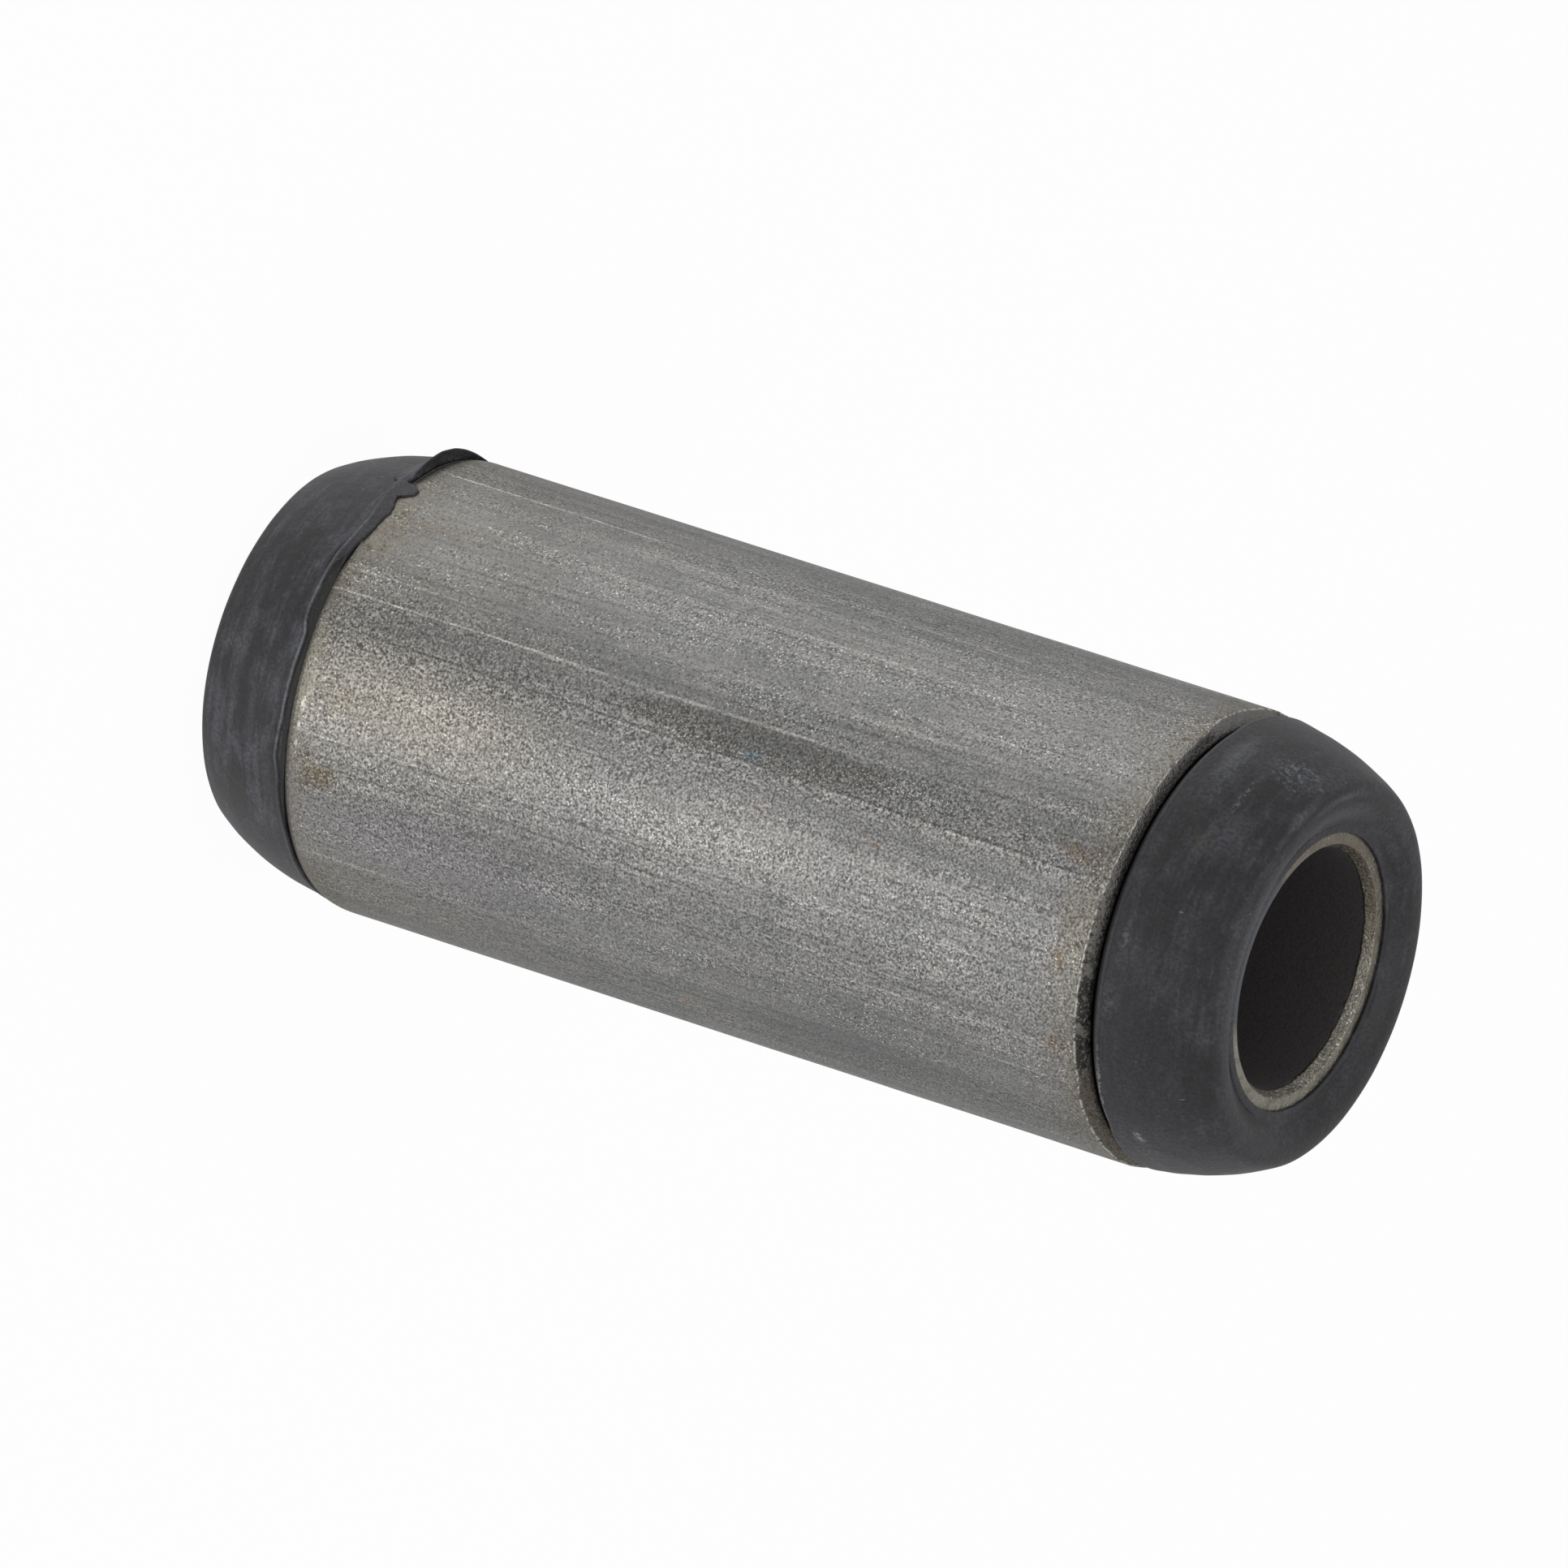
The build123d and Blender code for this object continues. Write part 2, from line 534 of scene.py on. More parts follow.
@cache
def line_group() -> bpy.types.NodeTree:
    """Build the group for one drawn line along the axis.

    The line is a mask around one angle, which may change with the height. It sways a little, is broken up
    by a noise that is long along the axis, and lies between two heights.

    Returns:
        The group.
    """
    inputs = {"Place": ORIGIN, "Angle": 0.0, "Height": 0.0, "At": 0.0, "Slant": 0.0}
    ends = {"From": 0.0, "To": 0.0, "Width": 0.5, "Breaks": 0.5}
    sketch, given = new_group("drawn_line", **inputs, **ends)
    place, angle, height, at, slant, first, last, width, breaks = given
    sway = sketch.noise(sketch.stretched(place, (0.0, 0.0, 0.07)), 1.0, 2.0) * 0.8 - 0.4
    near = (abs(angle - (height * slant + at + sway)) / width).ramp(1.0, 0.3)
    fade = 6.0
    start = sketch.math("DIVIDE", height - first, fade, clamp=True)
    stop = sketch.math("DIVIDE", last - height, fade, clamp=True)
    gaps = sketch.noise(sketch.stretched(place, (1.2, 1.2, 0.3)), 1.0, 5.0, 0.85)
    return sketch.close(Line=near * (1.0 - gaps.ramp(0.4, 0.58) * breaks) * (start * stop))


@cache
def patch_group() -> bpy.types.NodeTree:
    """Build the group for one ragged patch: an ellipse in angle and height, its edge moved by noise.

    Returns:
        The group.
    """
    inputs = {"Place": ORIGIN, "Angle": 0.0, "Height": 0.0, "At": 0.0, "Level": 0.0}
    sizes = {"Half_arc": 5.0, "Half_height": 5.0, "Softness": 0.5, "Ragged": 0.5}
    sketch, given = new_group("ragged_patch", **inputs, **sizes)
    place, angle, height, at, level, half_arc, half_height, softness, ragged = given
    across = sketch.math("WRAP", angle - at, 180.0, -180.0) / half_arc
    along = (height - level) / half_height
    span = sketch.math("SQRT", across * across + along * along)
    edge = (sketch.noise(place, 0.5, 5.0, 0.7) - 0.5) * (ragged * 4.0)
    return sketch.close(Patch=sketch.math("DIVIDE", 1.0 - (span + edge), softness, clamp=True))


@cache
def speck_group() -> bpy.types.NodeTree:
    """Build the group for scattered specks.

    Each cell of a Voronoi pattern has one point. The cells whose random colour is low enough show a speck
    around their point.

    Returns:
        The group.
    """
    sketch, given = new_group("scattered_specks", Place=ORIGIN, Spacing=3.0, Size=0.15, Share=0.4)
    place, spacing, size, share = given
    warp = sketch.values("TexNoise", Vector=place, Scale=2.5, Detail=1.0)["Color"]
    warped = sketch.stretched(warp, (0.5, 0.5, 0.5), place)
    cells = sketch.values("TexVoronoi", Vector=warped, Scale=1.0 / spacing)
    chance = sketch.values("SeparateColor", Color=cells["Color"])["Red"]
    reach = cells["Distance"] * spacing / (size * (chance * 1.5 + 0.7))
    dot = sketch.math("MULTIPLY", sketch.math("SUBTRACT", 1.0, reach, clamp=True), 2.5, clamp=True)
    return sketch.close(Speck=dot * sketch.math("LESS_THAN", chance, share))


def blank_sketch(owner: bpy.types.Material | bpy.types.World) -> Sketch:
    """Give a material or a world an empty node tree.

    Args:
        owner: The material or the world.

    Returns:
        The sketch of its tree.
    """
    owner.use_nodes = True
    owner.node_tree.nodes.clear()
    return Sketch(owner.node_tree)


def new_material(name: str) -> tuple[bpy.types.Material, Sketch, bpy.types.Node]:
    """Start a material.

    Args:
        name: Name of the material.

    Returns:
        The material, the sketch of its tree and its Principled BSDF node.
    """
    material = bpy.data.materials.new(name)
    sketch = blank_sketch(material)
    shader = sketch.node("BsdfPrincipled")
    sketch.surface("Material", shader)
    return material, sketch, shader


# --------------------------------------------------------------------------------------------------
# Finishes
# --------------------------------------------------------------------------------------------------


@dataclass(frozen=True)
class Scratch:
    """A line drawn along the sleeve: its angle at mid height, its ends, its half width and its tone.

    The half width is in degrees and the slant in degrees a millimetre. A positive tone makes the line light
    and a negative one dark.
    """

    at: float
    start: float
    stop: float
    width: float
    tone: float
    slant: float = 0.0
    breaks: float = 0.6

    def feeds(self) -> dict[str, float]:
        """Give what goes into the group for one line."""
        ends = {"From": self.start, "To": self.stop}
        return {"At": self.at, "Slant": self.slant, **ends, "Width": self.width, "Breaks": self.breaks}


@dataclass(frozen=True)
class Stain:
    """A ragged patch: its middle, its half sizes in degrees and millimetres, its colour and its share.

    Without a colour it is only a mask.
    """

    at: float
    level: float
    half_arc: float
    half_height: float
    colour: tuple = ()
    share: float = 1.0
    softness: float = 0.6
    ragged: float = 0.5

    def feeds(self) -> dict[str, float]:
        """Give what goes into the group for one patch.

        Returns:
            The values, by the names of the group's inputs.
        """
        sizes = {"Half_arc": self.half_arc, "Half_height": self.half_height}
        edge = {"Softness": self.softness, "Ragged": self.ragged}
        return {"At": self.at, "Level": self.level, **sizes, **edge}


@dataclass(frozen=True)
class DrawnSteel:
    """Matte drawn steel of the outer sleeve: pitted, lined along the axis, stained, with a rolled edge."""

    light: tuple = (0.18, 0.178, 0.174)
    dark: tuple = (0.142, 0.141, 0.141)
    warm: tuple = (0.168, 0.157, 0.132)
    aged: tuple = (0.135, 0.121, 0.092)
    rust: tuple = (0.085, 0.062, 0.04)
    edge: tuple = (0.105, 0.098, 0.082)
    # Colour of the soot, also used for painted shade where the edge turns in under the rubber.
    soot_and_gap_shade: tuple = (0.02, 0.018, 0.016)
    # Colour of the painted glints, also used for light scratches and threads.
    painted_glint_and_light_mark: tuple = (0.5, 0.49, 0.45)
    pit: tuple = (0.07, 0.068, 0.065)
    roughness: float = 0.48
    grain: float = 0.31
    contrast: float = 1.35
    relief: float = 0.00007
    pitted: Stain = Stain(-92.0, -42.0, 26.0, 26.0, softness=0.8, ragged=0.3)
    smooth: Stain = Stain(-34.0, 24.0, 22.0, 32.0, softness=0.8, ragged=0.3)
    scratches: tuple[Scratch, ...] = (
        Scratch(-153.3, -57, -20, 0.6, 0.7),
        Scratch(-150.5, -30, 30, 0.6, -0.35, 0.02),
        Scratch(-142.0, -30, 57, 0.4, -0.4),
        Scratch(-132.4, -48, 50, 0.5, -0.5, 0.01, 0.7),
        Scratch(-107.0, -62, -18, 0.36, 0.62),
        Scratch(-106.6, -30, 16, 0.6, 0.4, 0.0, 0.8),
        Scratch(-97.0, -57, 57, 0.5, -0.6, 0.021, 0.3),
        Scratch(-96.2, -20, 57, 0.4, 0.28, 0.021),
        Scratch(-87.0, -30, 40, 0.4, -0.35, 0.01, 0.8),
        Scratch(-71.0, -57, -34, 0.5, 0.6, 0.0, 0.8),
        Scratch(-69.0, -56, 2, 0.4, -0.5, 0.045, 0.4),
        Scratch(-63.0, -56, 10, 0.45, -0.6, 0.06, 0.5),
        Scratch(-61.2, -52, 30, 0.45, -0.6, 0.05, 0.5),
        Scratch(-52.0, -45, 28, 0.5, -0.4, 0.0, 0.7),
        Scratch(-50.3, 18, 28, 0.3, 0.4),
        Scratch(-42.0, -5, 30, 0.5, -0.35),
        Scratch(-28.5, -28, 20, 0.6, -0.35, 0.0, 0.8),
        Scratch(-25.2, -30, 15, 0.5, -0.35, 0.0, 0.7),
        Scratch(35.0, -50, 20, 0.5, -0.25, 0.02),
        Scratch(78.0, -20, 50, 0.4, -0.25, -0.02),
        Scratch(124.0, -50, 40, 0.5, 0.25, 0.01),
        Scratch(160.0, -30, 50, 0.5, -0.25),
    )
    stains_and_highlights: tuple[Stain, ...] = (
        # The first patch is a warm stain made lighter where the highlight band falls: partly stain, partly
        # painted highlight.
        Stain(-84.0, -40.0, 17.0, 26.0, (0.228, 0.212, 0.182), 0.75, 0.9, 0.15),
        Stain(-48.0, -38.0, 16.0, 30.0, (0.16, 0.154, 0.162), 0.7, 0.8, 0.15),
        Stain(-80.0, 4.0, 15.0, 30.0, (0.2, 0.196, 0.186), 0.6, 0.9, 0.15),
        Stain(-34.0, 26.0, 19.0, 26.0, (0.122, 0.121, 0.121), 0.65, 1.0, 0.3),
        Stain(-102.0, 6.0, 5.4, 23.0, (0.1, 0.099, 0.093), 0.72, 0.25, 0.16),
        Stain(-102.5, -36.0, 4.8, 26.0, (0.115, 0.116, 0.115), 0.45, 0.8, 0.25),
        Stain(-98.6, 5.3, 1.9, 1.9, (0.09, 0.135, 0.15), 0.7, 0.9, 0.25),
        Stain(-118.0, -24.0, 7.0, 15.0, (0.11, 0.108, 0.104), 0.4, 1.4),
        Stain(-42.0, 23.0, 9.0, 8.0, (0.105, 0.105, 0.108), 0.4, 1.4),
        Stain(-61.0, -50.5, 4.0, 2.6, (0.105, 0.08, 0.048), 0.6, 0.9, 1.0),
        Stain(-60.0, -53.0, 9.0, 2.2, (0.115, 0.096, 0.066), 0.5, 1.0, 1.2),
        Stain(-84.0, -54.8, 15.0, 1.3, (0.215, 0.203, 0.168), 0.6, 0.8, 0.4),
        # These three small bright patches on the rounded lower rim are partly wear, partly painted
        # highlight.
        Stain(-77.5, -54.8, 2.4, 0.4, (0.38, 0.37, 0.34), 0.8, 0.7, 0.4),
        Stain(-72.0, -54.9, 1.6, 0.45, (0.4, 0.39, 0.36), 0.85, 0.7, 0.4),
        Stain(-67.5, -55.0, 1.5, 0.35, (0.38, 0.37, 0.34), 0.8, 0.7, 0.4),
        Stain(-81.0, -50.0, 6.0, 2.4, (0.13, 0.107, 0.07), 0.25, 1.0, 1.2),
        Stain(-100.5, 51.0, 3.5, 3.2, (0.115, 0.082, 0.05), 0.5, 1.0, 1.4),
        Stain(-74.5, 52.5, 3.0, 2.0, (0.13, 0.09, 0.052), 0.55, 1.0, 1.2),
        Stain(-52.0, 52.5, 3.0, 1.6, (0.12, 0.088, 0.055), 0.5, 1.0, 1.2),
        Stain(-131.5, -48.0, 3.5, 8.0, (0.13, 0.1, 0.07), 0.35, 1.3, 1.2),
        Stain(-24.8, -1.4, 0.9, 1.1, (0.24, 0.12, 0.04), 0.8, 0.8, 0.6),
        Stain(-86.8, 8.9, 0.9, 0.9, (0.15, 0.075, 0.03), 0.7, 0.8, 0.8),
        Stain(-87.2, 24.9, 0.7, 1.1, (0.15, 0.075, 0.03), 0.6, 0.8, 0.8),
    )

    def material(self) -> bpy.types.Material:
        """Build the material.

        Returns:
            The material.
        """
        material, sketch, shader = new_material("drawn_steel")
        place, angle, height, radius = sketch.group(place_group()).values()
        where = {"Place": place, "Angle": angle, "Height": height}
        bands = sketch.stretched(place, (0.3, 0.3, 0.05))
        grain = sketch.group(grain_group(), Place=place, Cluster=bands, Size=self.grain)
        colour = self.marked(sketch, self.ground(sketch, place, height), where)

        pitted = sketch.group(patch_group(), **where, **self.pitted.feeds())["Patch"]
        smooth = sketch.group(patch_group(), **where, **self.smooth.feeds())["Patch"]
        # Stronger mottle around -80 degrees, where the key light's highlight falls: partly painted glitter.
        lit_side = abs(angle + 80.0).ramp(34.0, 22.0, 0.0, 0.3)
        calm = angle.ramp(-102.0, -110.0, 0.0, 0.32) * height.ramp(30.0, -30.0, 0.3, 1.0)
        uneven = 0.75 - smooth * 0.3 + pitted * 0.25 + lit_side - calm + grain["Spread"] * 0.4
        uneven = uneven * height.ramp(-55.4, -53.6, 0.45 * self.contrast, self.contrast)
        colour = sketch.shaded(colour, (grain["Relief"] * 2.0) ** uneven)
        colour = sketch.mix(grain["Pit"] * 0.8, colour, self.pit)
        # Painted glints: bright grains laid into the base colour.
        colour = sketch.mix(grain["Glint"] * (pitted * 0.2 + 0.75), colour, self.painted_glint_and_light_mark)
        specks = sketch.group(speck_group(), Place=place, Spacing=2.2, Size=0.16, Share=0.35)["Speck"]
        colour = sketch.mix(specks * 0.55, colour, self.pit)

        rough = sketch.noise(place, 1.6, 3.0, 0.65)
        top = height.ramp(50.0, 52.0)
        rolled = radius.ramp(28.42, 28.34) * top
        colour = sketch.mix(rolled, colour, self.band(sketch, place, angle, radius, rough))
        # Painted glints along the outer rim of the rolled edge.
        rim = radius.ramp(28.48, 28.43) * radius.ramp(28.2, 28.36) * top
        colour = sketch.mix(rim * rough.ramp(0.44, 0.56, 0.08, 0.8), colour, self.painted_glint_and_light_mark)
        sketch.feed(shader.inputs["Base Color"], colour)
        sketch.feed(shader.inputs["Roughness"], grain["Glint"].ramp(0.0, 1.0, self.roughness, 0.34))
        shader.inputs["Metallic"].default_value = 1.0
        shader.inputs["Specular Tint"].default_value = (0.8, 0.8, 0.8, 1.0)
        sketch.bump(shader, rough * rolled * 3.0 + grain["Relief"] - specks * 0.5, self.relief)
        return material

    def ground(self, sketch: Sketch, place: Value, height: Value) -> Value:
        """Paint the bare steel: cloudy, with fine threads along the axis and browner ends.

        Args:
            sketch: The sketch of the material.
            place: The place on the bush.
            height: The height over the middle plane.

        Returns:
            The colour.
        """
        streaks = sketch.noise(sketch.stretched(place, (0.5, 0.5, 0.012)), 1.0, 5.0, 0.6)
        clouds = sketch.noise(place, 0.1, 4.0, 0.6)
        colour = sketch.mix((streaks * 0.6 + clouds * 0.4).ramp(0.38, 0.6), self.dark, self.light)
        colour = sketch.mix(height.ramp(-10.0, -56.0, 0.0, 0.3), colour, self.warm)
        tinge = sketch.noise(place, 0.22, 4.0, 0.7).ramp(0.48, 0.66, 0.0, 0.12)
        colour = sketch.mix(tinge, colour, self.warm)
        threads = sketch.noise(sketch.stretched(place, (1.5, 1.5, 0.02)), 1.0, 3.0, 0.6)
        colour = sketch.mix(threads.ramp(0.55, 0.7, 0.0, 0.42), colour, self.pit)
        colour = sketch.mix(threads.ramp(0.42, 0.28, 0.0, 0.2), colour, self.painted_glint_and_light_mark)
        ends = abs(height) - clouds * 14.0
        colour = sketch.mix(ends.ramp(43.0, 49.0, 0.0, 0.5), colour, self.aged)
        blots = sketch.noise(place, 0.8, 5.0, 0.7).ramp(0.55, 0.64)
        return sketch.mix(blots * ends.ramp(40.0, 49.0, 0.0, 0.75), colour, self.rust)

    def marked(self, sketch: Sketch, colour: Value, where: dict[str, Value]) -> Value:
        """Lay the patches and the scratches over a colour; a few patches are partly painted highlight.

        Args:
            sketch: The sketch of the material.
            colour: The colour underneath.
            where: The place, angle and height, by the groups' names for them.

        Returns:
            The colour.
        """
        for stain in self.stains_and_highlights:
            patch = sketch.group(patch_group(), **where, **stain.feeds())["Patch"]
            colour = sketch.mix(patch * stain.share, colour, stain.colour)
        for scratch in self.scratches:
            line = sketch.group(line_group(), **where, **scratch.feeds())["Line"]
            # Light scratches take the colour of the painted glints.
            paint = self.painted_glint_and_light_mark if scratch.tone > 0 else self.pit
            colour = sketch.mix(line * abs(scratch.tone), colour, paint)
        return colour

    def band(self, sketch: Sketch, place: Value, angle: Value, radius: Value, rough: Value) -> Value:
        """Paint the rolled upper edge: rough, sooty and oily on the near side, lighter further round, and
        darkened with painted shade where it turns in under the rubber's lip.

        Args:
            sketch: The sketch of the material.
            place: The place on the bush.
            angle: The angle about the axis.
            radius: The distance from the axis.
            rough: The noise that also roughens the edge's relief.

        Returns:
            The colour.
        """
        band = sketch.mix(rough.ramp(0.42, 0.66), self.edge, self.dark)
        band = sketch.mix(rough.ramp(0.46, 0.36) * angle.ramp(-110.0, -80.0, 0.5, 0.8), band, self.soot_and_gap_shade)
        oily = sketch.noise(place, 0.3, 3.0, 0.6).ramp(0.55, 0.45, 0.0, 0.75)
        band = sketch.mix(oily * angle.ramp(-84.0, -72.0) * angle.ramp(-40.0, -48.0), band, self.soot_and_gap_shade)
        band = sketch.mix(angle.ramp(-50.0, -40.0, 0.0, 0.5), band, self.rust)
        band = sketch.mix(sketch.noise(place, 2.6, 2.0, 0.6).ramp(0.56, 0.66, 0.0, 0.75), band, self.light)
        band = sketch.mix(angle.ramp(-96.0, -116.0, 0.0, 0.55), band, self.light)
        # Painted shade on the inner edge, where it turns in under the rubber's lip.
        return sketch.mix(radius.ramp(26.95, 26.6, 0.0, 0.85), band, self.soot_and_gap_shade)


@dataclass(frozen=True)
class MouldedRubber:
    """Matte black rubber with a pale bloom in streaks round the axis, dust specks, scuffs, painted
    highlights along its lips' edges and painted shade in its recesses.

    A side mark is placed by its angle and height, and a face mark by its angle and radius on the upper end.
    """

    base: tuple = (0.0149, 0.0147, 0.0176)
    bloom: tuple = (0.075, 0.0765, 0.086)
    deep: tuple = (0.0088, 0.0083, 0.0086)
    # Painted shade for the recessed ledge under the lower bead.
    ledge: tuple = (0.0052, 0.0044, 0.0038)
    # Pale colour of the scuffs, also used for the painted highlight along the lower bead.
    scuff_and_bead_highlight: tuple = (0.155, 0.162, 0.176)
    dust: tuple = (0.32, 0.31, 0.29)
    roughness: float = 0.58
    relief: float = 0.00006
    side_marks: tuple[Stain, ...] = (
        Stain(-118.0, -63.0, 10.0, 3.2, deep, 0.75, 1.0, 0.7),
        Stain(-100.0, -60.0, 8.0, 1.6, deep, 0.6, 1.0, 0.5),
        Stain(-112.0, 61.5, 9.0, 3.0, deep, 0.6, 1.1, 0.7),
        Stain(-86.0, -66.3, 24.0, 1.3, bloom, 0.6, 1.0, 0.3),
        Stain(-70.0, -62.5, 18.0, 1.0, bloom, 0.45, 1.0, 0.4),
        Stain(-58.0, -59.6, 10.0, 1.0, bloom, 0.4, 1.0, 0.4),
        Stain(-118.0, 62.3, 11.0, 2.4, deep, 0.6, 1.0, 0.6),
        Stain(-130.5, 67.4, 11.0, 2.2, deep, 0.65, 1.0, 0.5),
        Stain(-142.0, 61.5, 15.0, 1.6, (0.1, 0.103, 0.114), 0.8, 1.0, 0.3),
        Stain(-113.0, 64.5, 5.0, 1.8, (0.05, 0.045, 0.038), 0.6, 1.0, 0.8),
        Stain(-104.0, 60.5, 12.0, 2.0, deep, 0.6, 1.2, 0.5),
        Stain(-52.0, 63.0, 34.0, 9.0, base, 0.7, 0.8, 0.3),
        Stain(-92.0, 69.3, 24.0, 2.6, base, 0.7, 1.0, 0.4),
        # Painted shade on the recessed ledge under the lower bead.
        Stain(-78.0, -56.85, 42.0, 0.5, ledge, 0.95, 0.25, 0.05),
        Stain(-106.0, -57.1, 10.0, 0.72, ledge, 0.95, 0.25, 0.05),
        Stain(-94.6, 65.65, 0.35, 0.34, dust, 0.5, 0.9, 0.3),
        Stain(-42.2, 68.6, 0.35, 0.4, dust, 0.5, 0.9, 0.3),
    )
    face_marks: tuple[Stain, ...] = (
        # This mark and the one at -96 degrees lighten the rubber's edge beside the tube: partly bloom,
        # partly painted highlight.
        Stain(-160.0, 19.9, 38.0, 1.5, bloom, 0.55, 1.0, 0.2),
        Stain(-158.0, 22.6, 20.0, 0.5, scuff_and_bead_highlight, 0.3, 0.9, 0.3),
        Stain(-135.0, 23.7, 15.0, 0.6, scuff_and_bead_highlight, 0.3, 0.9, 0.3),
        Stain(-165.0, 21.8, 26.0, 0.45, deep, 0.95, 0.6, 0.08),
        # Painted shade in the crease beside the tube.
        Stain(-12.0, 18.8, 24.0, 0.6, deep, 0.8, 0.8, 0.15),
        # Partly bloom, partly painted highlight on the rubber's edge beside the tube.
        Stain(-96.0, 19.6, 42.0, 3.6, bloom, 0.5, 0.6, 0.25),
        Stain(75.0, 22.5, 62.0, 5.5, deep, 0.45, 1.2, 0.6),
        Stain(20.0, 21.5, 24.0, 2.0, deep, 0.5, 1.0, 0.8),
    )
    scuffs: tuple[Stain, ...] = (
        Stain(-149.0, 68.2, 9.0, 3.2, scuff_and_bead_highlight, 0.95, 0.8, 0.6),
        Stain(-131.0, 65.6, 12.0, 0.5, scuff_and_bead_highlight, 0.75, 0.9, 0.35),
        Stain(-136.0, 62.6, 14.0, 0.7, scuff_and_bead_highlight, 0.35, 0.9, 0.6),
        Stain(-84.0, 60.3, 7.0, 0.8, scuff_and_bead_highlight, 0.45, 0.9, 0.6),
        Stain(-67.0, 59.7, 7.0, 1.3, scuff_and_bead_highlight, 0.3, 0.9, 0.7),
        # A thin pale line along the upper lip's edge: painted highlight, not a scuff.
        Stain(-43.0, 58.75, 13.0, 0.3, dust, 0.75, 0.6, 0.5),
        Stain(-25.0, 62.1, 3.0, 0.6, dust, 0.9, 0.6, 1.0),
        Stain(-20.0, 62.0, 12.0, 3.0, scuff_and_bead_highlight, 0.4, 1.2, 0.7),
        Stain(40.0, 64.0, 14.0, 4.0, scuff_and_bead_highlight, 0.4, 1.2, 0.7),
        Stain(110.0, -63.0, 16.0, 4.0, scuff_and_bead_highlight, 0.4, 1.2, 0.7),
    )

    def material(self) -> bpy.types.Material:
        """Build the material.

        Returns:
            The material.
        """
        material, sketch, shader = new_material("moulded_rubber")
        place, angle, height, radius = sketch.group(place_group()).values()
        # Streaks round the axis: the noise is read at (radius, height, a slow turn of the angle).
        turned = sketch.values("CombineXYZ", X=radius, Y=height, Z=angle * 0.06)["Vector"]
        streaks = sketch.noise(sketch.stretched(turned, (0.7, 0.7, 1.0)), 1.0, 5.0, 0.65)
        clouds = sketch.noise(place, 0.16, 5.0, 0.68)
        tone = streaks * 0.5 + clouds * 0.5
        bloom = tone.ramp(0.45, 0.62) * height.ramp(40.0, 50.0, 0.95, 0.55)
        colour = sketch.mix(bloom, self.base, self.bloom)
        colour = sketch.mix(tone.ramp(0.48, 0.38, 0.0, 0.85), colour, self.deep)
        upper = height.ramp(66.0, 68.0)
        scratched = sketch.noise(place, 1.7, 4.0, 0.75).ramp(0.46, 0.6)
        marks = [(mark, height, 1.0) for mark in self.side_marks]
        marks += [(mark, radius, upper) for mark in self.face_marks]
        marks += [(mark, height, scratched) for mark in self.scuffs]
        for mark, across, kept in marks:
            where = {"Place": place, "Angle": angle, "Height": across}
            patch = sketch.group(patch_group(), **where, **mark.feeds())["Patch"]
            colour = sketch.mix(patch * kept * mark.share, colour, mark.colour)
        # Painted highlight along the lower bead's edge, read from the mesh's rim attribute.
        rim = sketch.values("Attribute", {"attribute_name": "rim"})["Fac"]
        colour = sketch.mix(rim * clouds.ramp(0.35, 0.6, 0.5, 0.95), colour, self.scuff_and_bead_highlight)

        cluster = sketch.stretched(place, (0.3, 0.3, 0.3))
        grain = sketch.group(grain_group(), Place=place, Cluster=cluster, Size=0.45)
        colour = sketch.shaded(colour, grain["Relief"] * 2.0)
        colour = sketch.mix(grain["Glint"] * 0.07, colour, self.dust)
        # Painted shade under the upper lip, in the groove where it meets the sleeve's rolled edge.
        painted_lip_gap_shade = height.ramp(58.3, 58.1) * radius.ramp(28.05, 27.9) * height.ramp(50.0, 51.0)
        colour = sketch.mix(painted_lip_gap_shade, colour, self.deep)
        specks = sketch.group(speck_group(), Place=place, Spacing=2.6, Size=0.12, Share=0.4)["Speck"]
        sketch.feed(shader.inputs["Base Color"], sketch.mix(specks * 0.5, colour, self.dust))
        dull = tone.ramp(0.4, 0.65, self.roughness - 0.06, self.roughness + 0.12)
        sketch.feed(shader.inputs["Roughness"], dull)
        shader.inputs["Specular IOR Level"].default_value = 0.35
        sketch.bump(shader, sketch.noise(place, 0.9, 3.0, 0.6) * 1.6 + grain["Relief"], self.relief)
        return material


